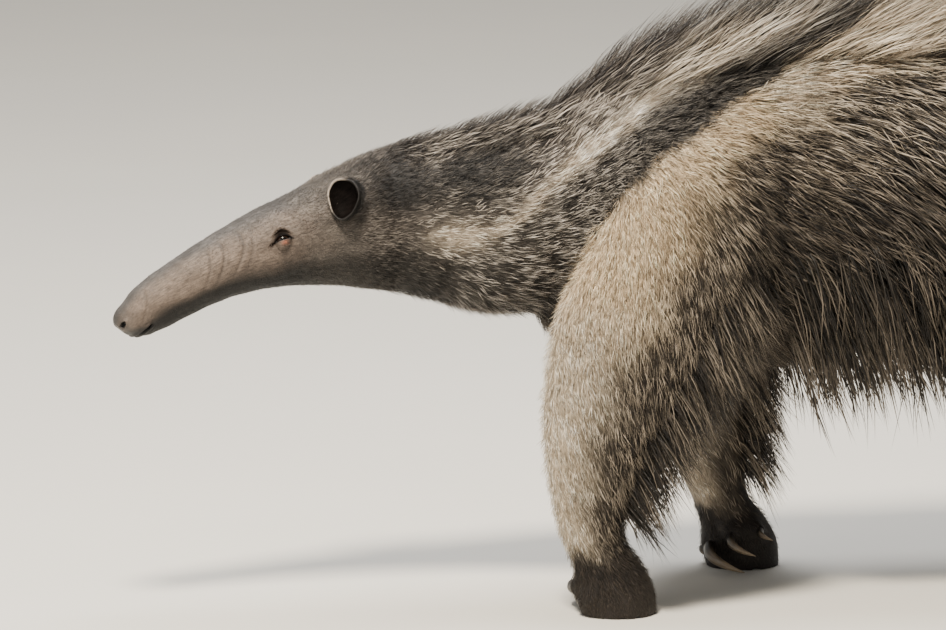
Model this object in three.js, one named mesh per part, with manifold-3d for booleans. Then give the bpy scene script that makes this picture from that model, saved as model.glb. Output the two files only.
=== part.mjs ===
import * as THREE from "three";
import { mergeVertices } from "three/addons/utils/BufferGeometryUtils.js";
import Module from "manifold-3d";

// A giant anteater walking with its head low, at life size, in millimetres.
// The head points along -X, the animal's left side faces -Y, +Z is up and the soles stand at Z = 0.

const gap = 0.3; // clearance between neighbouring pieces
const trunkHeight = 430; // height of the middle of the trunk over the forelegs
const foreTrack = 121; // distance of each forefoot from the middle plane
const hindTrack = 119;
const foreStep = 88; // the left forefoot is this far ahead of a square stance, the right one as far behind
const hindStep = 58; // the left hind foot is this far behind a square stance, the right one as far ahead
const eyeRadius = 8.5;
const eyeSunk = 4.5; // how far the middle of an eye lies under the surface
const eyeAngle = 1.27; // angles round the head from its top, in radians
const earAngles = { left: 0.98, right: 1.2 }; // the right ear is laid lower than the left one
const nostrilAngle = 1.15;
const earWidth = 37;
const earHeight = 45;
const earDepth = 13;
const earRim = 3.6;
const earTaper = 0.2; // how much wider the cup is at its upper end, and narrower at its lower end
const earStandOff = 9; // how far the middle of an ear's cup stands off the head
const mouthDrop = 15; // the mouth's plane lies this far under the middle of the snout's tip
const coreShare = 0.45; // share of the long hair's height that its dense core fills
const lockSunk = 12; // how far the root of a lock runs on under the surface
const lockShortest = 34;
const lockThickness = 7;

const wasm = await Module();
wasm.setup();

const vec = (x, y, z) => new THREE.Vector3(x, y, z);
const backward = vec(1, 0, 0);
const forward = vec(-1, 0, 0);
const upward = vec(0, 0, 1);
const unturned = new THREE.Quaternion();

// Seeded draws, the same on every run.
let seed = 20;
function draw(low, high) {
  seed = (seed * 1664525 + 1013904223) % 4294967296;
  return low + ((high - low) * seed) / 4294967296;
}

// A closed mesh with its shared corners merged, as a solid that can be joined and cut.
function solidOf(geometry) {
  const plain = geometry.clone();
  plain.deleteAttribute("normal");
  plain.deleteAttribute("uv");
  const merged = mergeVertices(plain, 1e-4);
  return new wasm.Manifold(
    new wasm.Mesh({
      numProp: 3,
      vertProperties: new Float32Array(merged.attributes.position.array),
      triVerts: new Uint32Array(merged.index.array),
    }),
  );
}

// A closed mesh of rings of corners, with a cap or a point at each end.
function ringSolid(rings) {
  const faces = [];
  const starts = [];
  let count = 0;
  for (const ring of rings) {
    starts.push(count);
    count += ring.length;
  }
  for (let i = 0; i < rings.length - 1; i++) {
    const here = rings[i].length;
    const next = rings[i + 1].length;
    for (let j = 0; j < Math.max(here, next); j++) {
      const a = starts[i] + (j % here);
      const b = starts[i] + ((j + 1) % here);
      const c = starts[i + 1] + (j % next);
      const d = starts[i + 1] + ((j + 1) % next);
      if (here > 1) faces.push(a, b, c);
      if (next > 1) faces.push(b, d, c);
    }
  }
  const geometry = new THREE.BufferGeometry();
  const corners = rings.flat().flatMap((corner) => corner.toArray());
  geometry.setAttribute("position", new THREE.Float32BufferAttribute(corners, 3));
  geometry.setIndex(faces);
  return solidOf(geometry);
}

const joined = (solids) => wasm.Manifold.union(solids);

// The largest closed surface of a solid.
function largest(solid) {
  return solid.decompose().reduce((best, piece) => (piece.volume() > best.volume() ? piece : best));
}

// All that lies on the side of a plane that the direction points to, less half a gap.
function beyond(point, direction) {
  const reach = 5000;
  const block = new THREE.BoxGeometry(reach, reach, reach).translate(0, 0, reach / 2 + gap / 2);
  block.applyQuaternion(new THREE.Quaternion().setFromUnitVectors(upward, direction.clone().normalize()));
  return solidOf(block.translate(point.x, point.y, point.z));
}

// A turn that takes X, Y and Z to the given directions.
function turnTo(x, y, z) {
  return new THREE.Quaternion().setFromRotationMatrix(new THREE.Matrix4().makeBasis(x, y, z));
}

function ellipsoid(middle, radii, turn, across, down) {
  const ball = new THREE.SphereGeometry(1, across, down).scale(...radii).applyQuaternion(turn);
  return solidOf(ball.translate(middle.x, middle.y, middle.z));
}

// An oval that narrows towards its lower end.
function earOval(middle, radii, turn) {
  const oval = new THREE.SphereGeometry(1, 12, 8);
  const corners = oval.attributes.position;
  for (let i = 0; i < corners.count; i++) {
    corners.setX(i, corners.getX(i) * (1 + earTaper * corners.getY(i)));
  }
  oval.scale(...radii).applyQuaternion(turn);
  return solidOf(oval.translate(middle.x, middle.y, middle.z));
}

// A smooth body form through rings. A ring has its middle, its half width, and its reach towards the
// form's top side and its underside. Angles go round from the top side, negative ones on the right.
class Form {
  constructor(rings, topSide = upward) {
    this.topSide = topSide;
    this.last = rings.length - 1;
    this.path = new THREE.CatmullRomCurve3(rings.map((r) => vec(...r.at)), false, "catmullrom");
    const sizes = rings.map((r) => vec(r.side, r.up, r.down));
    this.sizes = new THREE.CatmullRomCurve3(sizes, false, "catmullrom");
  }

  // The middle and the three directions of the form at a share t of its length.
  frame(t) {
    const along = this.path.getTangent(t).normalize();
    const up = this.topSide.clone().addScaledVector(along, -this.topSide.dot(along)).normalize();
    return { middle: this.path.getPoint(t), along, up, side: along.clone().cross(up) };
  }

  // The point on the surface at share t, moved outward by out.
  point(t, angle, out = 0) {
    const { middle, up, side } = this.frame(t);
    const size = this.sizes.getPoint(t);
    const across = (Math.max(size.x, 0.5) + out) * Math.sin(angle);
    const high = (Math.max(Math.cos(angle) > 0 ? size.y : size.z, 0.5) + out) * Math.cos(angle);
    return middle.addScaledVector(side, across).addScaledVector(up, high);
  }

  // The surface at share t and an angle: its point, the way out of it, along it and round it from the top.
  skin(t, angle) {
    const turn = Math.sign(angle || 1);
    const step = 0.004;
    const behind = this.point(Math.max(t - step, 0), angle);
    const along = this.point(Math.min(t + step, 1), angle).sub(behind).normalize();
    const round = this.point(t, angle + 0.05 * turn).sub(this.point(t, angle - 0.05 * turn)).normalize();
    const out = round.clone().cross(along).multiplyScalar(turn).normalize();
    const sideways = this.frame(t).side.multiplyScalar(turn);
    return { at: this.point(t, angle), out, along, round, sideways };
  }

  // The share of the form's length where its middle passes a place on an axis.
  shareAt(axis, place) {
    const rising = this.path.getPoint(1)[axis] > this.path.getPoint(0)[axis];
    let [low, high] = [0, 1];
    for (let i = 0; i < 30; i++) {
      const t = (low + high) / 2;
      if (this.path.getPoint(t)[axis] < place === rising) low = t;
      else high = t;
    }
    return low;
  }

  // The closed solid, with its number of rings and sides, and its whole surface moved outward by out.
  solid(steps, sides, out = 0) {
    const rings = [];
    for (let i = 0; i <= steps; i++) {
      const end = i === 0 ? -out : i === steps ? out : 0;
      const { along, middle } = this.frame(i / steps);
      const ring = [];
      for (let j = 0; j < sides; j++) {
        ring.push(this.point(i / steps, (j / sides) * 2 * Math.PI, out).addScaledVector(along, end));
      }
      const cap = [middle.addScaledVector(along, end)];
      if (i === 0) rings.push(cap);
      rings.push(ring);
      if (i === steps) rings.push(cap);
    }
    return ringSolid(rings);
  }
}

// The solid in pieces, parted by a thin cut across the form at each share of its length.
function partedAt(solid, form, shares) {
  const pieces = [];
  let rest = solid;
  for (const t of shares) {
    const { middle, along } = form.frame(t);
    pieces.push(largest(rest.intersect(beyond(middle, along.clone().negate()))));
    rest = largest(rest.intersect(beyond(middle, along)));
  }
  return [...pieces, rest];
}

// A flat, tapered lock of hair. It starts sunk under the surface, leaves it along its lie and its lift, and
// sags towards its tip. Its flat side looks the way of its face, and a low ridge runs down its middle.
const shortLock = { below: 150, width: [0.85, 1, 0.68], depth: [1, 1, 0.7] };
const longLock = { width: [0.85, 1, 0.88, 0.55], depth: [1, 1, 0.85, 0.6] };

function lockSolid({ root, lie, face, length, width, lift, sag }, grow = 0) {
  const shape = length < shortLock.below ? shortLock : longLock;
  const steps = shape.width.length;
  const at = root.clone();
  const rings = [];
  for (let i = 0; i <= steps; i++) {
    const share = i / steps;
    const rise = lift * Math.pow(1 - share, 1.5);
    const along = lie.clone().addScaledVector(face, rise);
    along.addScaledVector(upward, -sag * share * share).normalize();
    const across = along.clone().cross(face).normalize();
    const out = across.clone().cross(along);
    if (i === 0) at.addScaledVector(along, -lockSunk - grow);
    if (i === steps) {
      rings.push([at.clone().addScaledVector(along, 2 * grow)]);
    } else {
      const half = (width / 2) * shape.width[i] + 2 * grow;
      const ridge = lockThickness * shape.depth[i] + grow;
      rings.push([
        at.clone().addScaledVector(across, half).addScaledVector(out, -grow),
        at.clone().addScaledVector(across, -half).addScaledVector(out, -grow),
        at.clone().addScaledVector(out, ridge),
      ]);
    }
    at.addScaledVector(along, (length + lockSunk) / steps);
  }
  rings.unshift([rings[0][0].clone().add(rings[0][1]).add(rings[0][2]).divideScalar(3)]);
  return ringSolid(rings);
}

// The locks of a node, each shortened until it keeps the gap to the other nodes.
function locksClearOf(locks, others) {
  const kept = [];
  for (const shape of locks)
    for (let length = shape.length; length > lockShortest; length *= 0.85) {
      const grown = lockSolid({ ...shape, length }, gap);
      if (others.every((other) => grown.intersect(other).isEmpty())) {
        kept.push(lockSolid({ ...shape, length }));
        break;
      }
    }
  return kept;
}

// A row of locks on a form, one at each spacing from a place to another on an axis, with the roots sunk.
function lockRow(form, { axis, from, to, spacing, angle, sink }, shapeAt) {
  const count = Math.round(Math.abs(to - from) / spacing);
  return Array.from({ length: count + 1 }, (_, i) => {
    const place = from + ((to - from) * (i + draw(-0.2, 0.2))) / count;
    const t = form.shareAt(axis, place);
    const skin = form.skin(t, angle + draw(-0.05, 0.05));
    const root = skin.at.clone().addScaledVector(skin.out, -sink);
    return { root, face: skin.out, lift: 0.3, sag: 0.2, width: spacing, ...shapeAt(skin, t, place) };
  });
}

const looks = {
  snoutHide: { color: 0x857970, roughness: 0.75 },
  headCoat: { color: 0x6f665d, roughness: 0.9 },
  neckCoat: { color: 0x4a4139, roughness: 0.9 },
  bodyCoat: { color: 0x5f5448, roughness: 0.92 },
  tailHair: { color: 0x453a30, roughness: 0.92 },
  foreCoat: { color: 0xb5a58c, roughness: 0.92 },
  hindCoat: { color: 0x3a322c, roughness: 0.92 },
  footHide: { color: 0x2b2623, roughness: 0.8 },
  claw: { color: 0x7d7060, roughness: 0.45 },
  eye: { color: 0x120d0a, roughness: 0.08 },
};
const anteater = new THREE.Group();
const placed = {};

function addNode(name, solid, look) {
  const { vertProperties, triVerts } = solid.getMesh();
  const geometry = new THREE.BufferGeometry();
  geometry.setAttribute("position", new THREE.BufferAttribute(new Float32Array(vertProperties), 3));
  geometry.setIndex(new THREE.BufferAttribute(new Uint32Array(triVerts), 1));
  geometry.computeVertexNormals();
  const mesh = new THREE.Mesh(geometry, new THREE.MeshStandardMaterial({ metalness: 0, ...looks[look] }));
  mesh.name = name;
  anteater.add(mesh);
  placed[name] = solid;
}

const nodesLike = (...words) =>
  Object.keys(placed)
    .filter((name) => words.some((word) => name.startsWith(word)) && !name.includes("claw"))
    .map((name) => placed[name]);

// The tube of the head, curved down and turned a little to the left, with the neck behind it.
const headAndNeck = new Form([
  { at: [-390, -65, 312], side: 8, up: 8, down: 8 },
  { at: [-385, -64, 317], side: 17, up: 17, down: 17 },
  { at: [-373, -62, 327], side: 21, up: 21, down: 27 },
  { at: [-356, -58, 339], side: 24, up: 26, down: 32 },
  { at: [-322, -52, 356], side: 28, up: 31, down: 33 },
  { at: [-277, -44, 376], side: 34, up: 37, down: 37 },
  { at: [-232, -36, 390], side: 42, up: 46, down: 43 },
  { at: [-187, -28, 401], side: 50, up: 54, down: 54 },
  { at: [-137, -20, 413], side: 56, up: 67, down: 72 },
  { at: [-92, -14, 418], side: 61, up: 80, down: 82 },
  { at: [-35, -7, 416], side: 70, up: 89, down: 93 },
  { at: [35, 0, 412], side: 86, up: 103, down: 106 },
  { at: [130, 0, 424], side: 78, up: 96, down: 96 },
]);
// Where along those rings the parts of the face sit, and where the snout and the neck are parted off.
const headRing = {
  nostril: 0.7,
  mouth: 1.2,
  lipCorner: 2.4,
  snoutEnd: 5.35,
  eye: 6.28,
  ear: 7.78,
  nape: 9.05,
};
const headShare = (ring) => ring / headAndNeck.last;

const trunk = new Form([
  { at: [45, 0, trunkHeight - 22], side: 40, up: 50, down: 84 },
  { at: [90, 0, trunkHeight - 16], side: 84, up: 100, down: 148 },
  { at: [180, 0, trunkHeight], side: 112, up: 138, down: 164 },
  { at: [260, 0, trunkHeight], side: 126, up: 158, down: 178 },
  { at: [350, 0, trunkHeight + 5], side: 134, up: 168, down: 172 },
  { at: [450, 0, trunkHeight + 10], side: 143, up: 165, down: 166 },
  { at: [560, 0, trunkHeight + 8], side: 150, up: 160, down: 160 },
  { at: [670, 0, trunkHeight + 10], side: 143, up: 145, down: 148 },
  { at: [770, 0, trunkHeight + 20], side: 120, up: 115, down: 115 },
  { at: [850, 0, trunkHeight + 35], side: 76, up: 72, down: 70 },
  { at: [905, 0, trunkHeight + 42], side: 36, up: 34, down: 34 },
]);
const shoulderCut = 97; // where the mane's core is parted, behind the neck
const tailCut = 880;

// The line that the mane springs from on the flesh, and how high its tips stand over it.
const maneRings = [
  { x: -96, y: -14, flesh: 495, hair: 5 },
  { x: -35, y: -7, flesh: 503, hair: 16 },
  { x: 40, y: 0, flesh: 514, hair: 26 },
  { x: 100, y: 0, flesh: 524, hair: 33 },
  { x: 180, y: 0, flesh: 566, hair: 60 },
  { x: 260, y: 0, flesh: 587, hair: 80 },
  { x: 350, y: 0, flesh: 603, hair: 94 },
  { x: 450, y: 0, flesh: 605, hair: 100 },
  { x: 560, y: 0, flesh: 598, hair: 106 },
  { x: 670, y: 0, flesh: 585, hair: 110 },
  { x: 770, y: 0, flesh: 565, hair: 110 },
  { x: 850, y: 0, flesh: 537, hair: 92 },
];
const maneCore = new Form(
  maneRings.map(({ x, y, flesh, hair }) => ({
    at: [x, y, flesh - 20],
    side: 9 + 0.22 * hair,
    up: 20 + coreShare * hair,
    down: 14,
  })),
);
const maneHeights = maneRings.map(({ hair }) => vec(hair, 0, 0));
const maneHair = new THREE.CatmullRomCurve3(maneHeights, false, "catmullrom");

// Where the tips of the tail's hair reach, ring by ring. The core of the plume takes a share of that.
const plumeRings = [
  { at: [868, 0, 470], side: 40, up: 42, down: 42 },
  { at: [940, 2, 462], side: 70, up: 100, down: 120 },
  { at: [1040, 8, 430], side: 84, up: 136, down: 210 },
  { at: [1160, 20, 394], side: 90, up: 146, down: 262 },
  { at: [1300, 34, 356], side: 84, up: 142, down: 250 },
  { at: [1430, 46, 320], side: 66, up: 124, down: 200 },
  { at: [1530, 54, 288], side: 40, up: 84, down: 124 },
];
const plumeCore = new Form(
  plumeRings.map(({ at, side, up, down }, i) => {
    const share = i === 0 ? 1 : coreShare;
    return { at, side: side * share, up: up * share, down: down * share };
  }),
);

// One leg's form, from its root in the trunk to under the floor. Each ring has its height, its place in a
// square stance, the share that it takes of the step and of the track, and its reaches.
function legForm(rings, track, step, side) {
  return new Form(
    rings.map((r) => ({
      at: [r.x + step * r.swing, side * track * r.spread, r.z],
      side: r.side,
      up: r.front,
      down: r.back,
    })),
    forward,
  );
}

const foreRings = [
  { z: 535, x: 288, swing: 0, spread: 0.48, side: 36, front: 52, back: 54 },
  { z: 480, x: 264, swing: 0.02, spread: 0.68, side: 48, front: 84, back: 80 },
  { z: 420, x: 240, swing: 0.09, spread: 0.82, side: 52, front: 102, back: 90 },
  { z: 345, x: 222, swing: 0.3, spread: 0.92, side: 54, front: 103, back: 88 },
  { z: 283, x: 212, swing: 0.57, spread: 0.96, side: 53, front: 103, back: 86 },
  { z: 212, x: 202, swing: 0.8, spread: 0.99, side: 49, front: 82, back: 72 },
  { z: 146, x: 198, swing: 0.94, spread: 1, side: 42, front: 58, back: 56 },
  { z: 100, x: 200, swing: 1, spread: 1, side: 36, front: 42, back: 41 },
  { z: 68, x: 207, swing: 1, spread: 1, side: 34, front: 35, back: 36 },
  { z: 38, x: 220, swing: 1, spread: 1, side: 38, front: 40, back: 42 },
  { z: 14, x: 228, swing: 1, spread: 1, side: 40, front: 44, back: 44 },
  { z: -14, x: 230, swing: 1, spread: 1, side: 36, front: 40, back: 40 },
];
const hindRings = [
  { z: 520, x: 775, swing: 0, spread: 0.5, side: 42, front: 62, back: 58 },
  { z: 450, x: 768, swing: 0.04, spread: 0.72, side: 56, front: 104, back: 84 },
  { z: 380, x: 748, swing: 0.14, spread: 0.88, side: 60, front: 106, back: 90 },
  { z: 310, x: 724, swing: 0.4, spread: 0.97, side: 56, front: 86, back: 82 },
  { z: 240, x: 730, swing: 0.66, spread: 1, side: 49, front: 65, back: 66 },
  { z: 170, x: 752, swing: 0.87, spread: 1, side: 41, front: 49, back: 50 },
  { z: 110, x: 768, swing: 0.97, spread: 1, side: 36, front: 41, back: 42 },
  { z: 72, x: 770, swing: 1, spread: 1, side: 35, front: 44, back: 38 },
  { z: 40, x: 752, swing: 1, spread: 1, side: 37, front: 68, back: 54 },
  { z: 14, x: 742, swing: 1, spread: 1, side: 39, front: 82, back: 64 },
  { z: -14, x: 740, swing: 1, spread: 1, side: 35, front: 76, back: 60 },
];

// A curved, tapered claw that starts in one direction and bends towards another.
function claw(root, start, finish, length, width) {
  const steps = length > 40 ? 4 : 3;
  const at = root.clone();
  const rings = [];
  for (let i = 0; i <= steps; i++) {
    const half = (width / 2) * Math.pow(1 - i / (steps + 0.15), 0.75);
    rings.push({ at: at.toArray(), side: half * 0.85, up: half * 1.15, down: half });
    at.addScaledVector(start.clone().lerp(finish, (i + 0.5) / steps).normalize(), length / steps);
  }
  return new Form(rings).solid(steps, 5);
}

// Digits of a forefoot, folded inward under the knuckles. Digits 2 and 3 carry by far the largest claws.
const foreDigits = [
  { root: [14, 33, 46], reach: [11, 9, 10], claw: [0, 7, -2], length: 25, width: 9 },
  { root: [-16, 31, 40], reach: [15, 13, 15], claw: [-3, 10, -3], length: 50, width: 13 },
  { root: [-34, 13, 28], reach: [17, 18, 18], claw: [-6, 14, -4], length: 70, width: 17 },
  { root: [-28, -18, 20], reach: [18, 15, 17], claw: [-14, 4, -4], length: 23, width: 9 },
];

function foreDigitsOn(foot, inward) {
  return foreDigits.map((digit) => {
    const at = vec(foot.x + digit.root[0], foot.y + inward * digit.root[1], digit.root[2]);
    const start = at.clone().add(vec(digit.claw[0], inward * digit.claw[1], digit.claw[2]));
    const tipWay = vec(1, inward * 0.1, -0.32);
    const folded = claw(start, vec(-0.3, inward, -0.1), tipWay, digit.length, digit.width);
    return { at, reach: digit.reach, claw: folded };
  });
}

const hindToes = {
  count: 5,
  spacing: 14.5,
  setBack: 9, // of the outer toes behind the middle one
  front: 46,
  reach: [31, 9.5, 15],
  claw: 27,
  width: 9,
};

function hindDigitsOn(foot, inward) {
  const middle = (hindToes.count - 1) / 2;
  return Array.from({ length: hindToes.count }, (_, i) => {
    const bow = hindToes.setBack * Math.pow((i - middle) / middle, 2);
    const across = -inward * (i - middle) * hindToes.spacing;
    const at = vec(foot.x - hindToes.front + bow, foot.y + across, hindToes.reach[2]);
    const root = at.clone().add(vec(-22, 0, 2));
    const bent = claw(root, vec(-1, 0, 0.1), vec(-0.75, 0, -0.65), hindToes.claw, hindToes.width);
    return { at, reach: hindToes.reach, claw: bent };
  });
}

// The legs, parted at two joints. The hair behind each is a foreleg's feathering or a hind leg's breeches.
const legSides = 12;
const hairFromRear = 0.38; // the angle of a row of that hair from the middle of the leg's rear
const legKinds = {
  fore: {
    rings: foreRings,
    track: foreTrack,
    step: foreStep,
    joints: [4.1, 8.05],
    digitsOn: foreDigitsOn,
    look: "foreCoat",
    hair: { from: 350, to: 140, spacing: 52, length: 98, width: 40 },
  },
  hind: {
    rings: hindRings,
    track: hindTrack,
    step: -hindStep,
    joints: [4.3, 7.1],
    digitsOn: hindDigitsOn,
    look: "hindCoat",
    hair: { from: 425, to: 135, spacing: 50, length: 118, width: 44 },
  },
};

const trunkSteps = 20;
const trunkSides = 20;
const floorUp = beyond(vec(0, 0, -gap / 2), upward);
const trunkFlesh = trunk.solid(trunkSteps, trunkSides);
const trunkGrown = trunk.solid(trunkSteps, trunkSides, gap);

function addLeg(kindName, place, side) {
  const kind = legKinds[kindName];
  const form = legForm(kind.rings, kind.track, side * kind.step, side);
  const steps = Math.round(1.3 * form.last);
  const whole = form.solid(steps, legSides).intersect(floorUp);
  const [thigh, shank, foot] = partedAt(whole, form, kind.joints.map((ring) => ring / form.last));
  const upper = largest(thigh.subtract(trunkGrown));

  const digits = kind.digitsOn(form.frame((form.last - 1) / form.last).middle, -side);
  const toe = (digit, out) => ellipsoid(digit.at, digit.reach.map((r) => r + out), unturned, 7, 5);
  const toes = (out) => digits.map((digit) => toe(digit, out));
  const footGrown = joined([form.solid(steps, legSides, gap), ...toes(gap)]);
  const footWhole = joined([foot, ...toes(0)]).intersect(floorUp);
  addNode(`${kindName}foot_${place}`, largest(footWhole), "footHide");
  digits.forEach((digit, i) => {
    addNode(`${kindName}foot_claw_${place}_${i + 1}`, largest(digit.claw.subtract(footGrown)), "claw");
  });

  const kneeHeight = form.frame(kind.joints[0] / form.last).middle.z;
  const hairOf = (skin, t, place) => ({
    lie: skin.out.clone().multiplyScalar(0.42).add(vec(0.12, 0, -0.9)),
    face: skin.sideways,
    lift: 0.16,
    width: kind.hair.width,
    length: kind.hair.length * draw(0.88, 1.1),
    onUpper: place > kneeHeight + 4,
  });
  const rows = [-1, 1].flatMap((turn) =>
    lockRow(form, { axis: "z", sink: 7, ...kind.hair, angle: turn * (Math.PI - hairFromRear) }, hairOf),
  );
  const locksOn = (isUpper, other) => {
    return locksClearOf(rows.filter((row) => row.onUpper === isUpper), [other, trunkFlesh]);
  };
  const upperWhole = joined([upper, ...locksOn(true, shank)]).subtract(trunkGrown);
  addNode(`${kindName}leg_upper_${place}`, largest(upperWhole), kind.look);
  const lowerWhole = joined([shank, ...locksOn(false, placed[`${kindName}leg_upper_${place}`])]);
  addNode(`${kindName}leg_lower_${place}`, largest(lowerWhole), kind.look);
}

const sides = [["left", -1], ["right", 1]];
for (const [place, side] of sides)
  for (const kindName in legKinds) addLeg(kindName, place, side);

// The head: a mouth between two lips, nostrils, sockets with raised lids, and the cups of the ears.
const headSteps = 28;
const headSides = 18;
const headGrown = headAndNeck.solid(headSteps, headSides, gap);
const headParts = [headAndNeck.solid(headSteps, headSides)];
const headHollows = [];

const mouth = headAndNeck.frame(headShare(headRing.mouth));
const mouthSlit = 1.6;
const mouthAt = mouth.middle.clone().addScaledVector(mouth.up, -mouthDrop);
const mouthCorner = headAndNeck.frame(headShare(headRing.lipCorner)).middle;
const mouthLength = 2 * (mouthCorner.distanceTo(mouth.middle) - 3);
const slit = new THREE.BoxGeometry(mouthSlit, 80, mouthLength);
slit.applyQuaternion(turnTo(mouth.up, mouth.side, mouth.along)).translate(...mouthAt.toArray());
headHollows.push(solidOf(slit));

// The angle at which the surface at share t meets the mouth's plane.
function mouthAngle(t) {
  let [low, high] = [Math.PI / 2, Math.PI];
  for (let i = 0; i < 20; i++) {
    const angle = (low + high) / 2;
    if (headAndNeck.point(t, angle).sub(mouthAt).dot(mouth.up) > 0) low = angle;
    else high = angle;
  }
  return low;
}

const lipRings = [2.4, 2.05, 1.7, 1.3, 0.95];
const lipRadius = 2.3;
for (const above of [1, -1]) {
  const nearSide = lipRings.map((ring) => [ring, 1]);
  const places = [...nearSide, ...lipRings.toReversed().map((ring) => [ring, -1])];
  const rings = places.map(([ring, turn], i) => {
    const t = headShare(ring);
    const at = headAndNeck.point(t, turn * mouthAngle(t), -0.9).addScaledVector(mouth.up, above * 2.4);
    const radius = i === 0 || i === places.length - 1 ? 1 : lipRadius;
    return { at: at.toArray(), side: radius, up: radius, down: radius };
  });
  headParts.push(new Form(rings).solid(9, 4));
}

for (const [place, side] of sides) {
  const turn = -side;
  const nostril = headAndNeck.skin(headShare(headRing.nostril), turn * nostrilAngle);
  const nostrilTurn = turnTo(nostril.along, nostril.out.clone().cross(nostril.along), nostril.out);
  headHollows.push(ellipsoid(nostril.at, [4.8, 3, 5], nostrilTurn, 8, 5));

  const socket = headAndNeck.skin(headShare(headRing.eye), turn * eyeAngle);
  const socketUp = socket.out.clone().cross(socket.along).normalize();
  const eyeAt = socket.at.clone().addScaledVector(socket.out, -eyeSunk);
  const socketTurn = turnTo(socket.along, socketUp, socket.along.clone().cross(socketUp));
  const lids = new THREE.TorusGeometry(eyeRadius - 0.2, 3, 5, 12).scale(1.3, 0.85, 1);
  lids.translate(0, 0, 4).applyQuaternion(socketTurn);
  headParts.push(solidOf(lids.translate(...eyeAt.toArray())));
  headHollows.push(ellipsoid(eyeAt, Array(3).fill(eyeRadius + gap), unturned, 12, 8));
  addNode(`eye_${place}`, ellipsoid(eyeAt, Array(3).fill(eyeRadius), unturned, 12, 8), "eye");

  const cheek = headAndNeck.skin(headShare(headRing.ear), turn * earAngles[place]);
  const facing = cheek.out.clone().multiply(vec(1, 1, 0.75)).addScaledVector(cheek.along, -0.42).normalize();
  const earUp = upward.clone().addScaledVector(facing, -upward.dot(facing)).normalize();
  const earTurn = turnTo(earUp.clone().cross(facing), earUp, facing);
  const earAt = cheek.at.clone().addScaledVector(cheek.out, earStandOff);
  const shell = earOval(earAt, [earWidth / 2, earHeight / 2, earDepth], earTurn);
  const hollowAt = earAt.clone().addScaledVector(facing, 6);
  const hollowReach = [earWidth / 2 - earRim, earHeight / 2 - earRim, earDepth - 2.5];
  const hollow = earOval(hollowAt, hollowReach, earTurn);
  const mouthOfEar = beyond(earAt.clone().addScaledVector(facing, 4), facing.clone().negate());
  const cup = shell.subtract(hollow).intersect(mouthOfEar).subtract(headGrown);
  addNode(`ear_${place}`, largest(cup), "headCoat");
}

const headWhole = joined(headParts).subtract(joined(headHollows));
const headCuts = [headRing.snoutEnd, headRing.nape].map(headShare);
const [snout, head, neckFlesh] = partedAt(headWhole, headAndNeck, headCuts);
addNode("snout", snout, "snoutHide");
addNode("head", head, "headCoat");

// The mane: three rows of locks that lean back, the outer two also outward.
function maneRow(from, to, spacing, angle) {
  return lockRow(maneCore, { axis: "x", from, to, spacing, angle, sink: 12 }, (skin, t) => {
    const hair = maneHair.getPoint(t).x;
    const length = (48 + 1.05 * hair) * draw(0.9, 1.08);
    const sag = 0.35;
    const rise = ((1 - coreShare) * hair) / length + 0.12;
    const back = Math.sqrt(1 - rise * rise);
    const lean = angle === 0 ? draw(-0.1, 0.1) : Math.sign(angle) * 0.2;
    return {
      lie: skin.along.clone().multiplyScalar(back).addScaledVector(upward, rise).add(vec(0, -lean, 0)),
      face: skin.sideways,
      lift: 0.05,
      sag,
      length,
      width: 22 + 0.26 * hair,
    };
  });
}
const maneLocks = [
  ...maneRow(-66, 850, 50, 0),
  ...maneRow(-30, 840, 74, 0.8),
  ...maneRow(-30, 840, 74, -0.8),
];
const isOnTorso = ({ root }) => root.x > shoulderCut + 8;
const maneSolid = maneCore.solid(20, 8);

// The coat on the flanks lies back and round, and the fringe hangs from them past the belly.
const flankPlace = { axis: "x", from: 400, to: 690, spacing: 58, angle: 1.36, sink: 7 };
const flankLook = { lift: 0.34, length: 140, width: 62 };
const fringeRows = [
  { from: 375, to: 655, spacing: 46, angle: 2.05, sink: 7, lift: 0.16, length: 165, width: 48 },
  { from: 400, to: 640, spacing: 60, angle: 2.6, sink: 7, lift: 0.05, length: 100, width: 56 },
];
const hanging = vec(0.4, 0, -1);

function coatRow(place, look, turn, lieOf, faceOf) {
  return lockRow(trunk, { axis: "x", ...place, angle: turn * place.angle }, (skin) => ({
    lie: lieOf(skin),
    face: faceOf(skin),
    lift: look.lift,
    width: look.width,
    length: look.length * draw(0.88, 1.08),
  }));
}
const backAndRound = (skin) => vec(0.72, 0, 0).addScaledVector(skin.round, 0.72);
const flankLocks = [-1, 1].flatMap((turn) => [
  ...coatRow(flankPlace, flankLook, turn, backAndRound, (skin) => skin.out),
  ...fringeRows.flatMap((row) => coatRow(row, row, turn, () => hanging, (skin) => skin.sideways)),
]);

const torsoEnd = beyond(vec(tailCut, 0, 0), forward);
const torsoMane = maneSolid.intersect(beyond(vec(shoulderCut, 0, 0), backward));
const torsoHair = [...maneLocks.filter(isOnTorso), ...flankLocks];
const torsoLocks = locksClearOf(torsoHair, [...nodesLike("fore", "hind"), headWhole]);
const torsoFlesh = joined([trunkFlesh.intersect(torsoEnd), torsoMane]);
addNode("torso", largest(joined([torsoFlesh, ...torsoLocks])), "bodyCoat");

const nape = headAndNeck.frame(headShare(headRing.nape));
const neckEnd = beyond(vec(shoulderCut, 0, 0), forward).intersect(beyond(nape.middle, nape.along));
const neckMane = maneSolid.intersect(neckEnd);
const neckHair = maneLocks.filter((shape) => !isOnTorso(shape));
const neckLocks = locksClearOf(neckHair, nodesLike("torso", "head", "ear"));
const neckWhole = joined([neckFlesh, neckMane]).subtract(trunkGrown).intersect(neckEnd);
addNode("neck", largest(joined([neckWhole, ...neckLocks])), "neckCoat");

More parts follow.
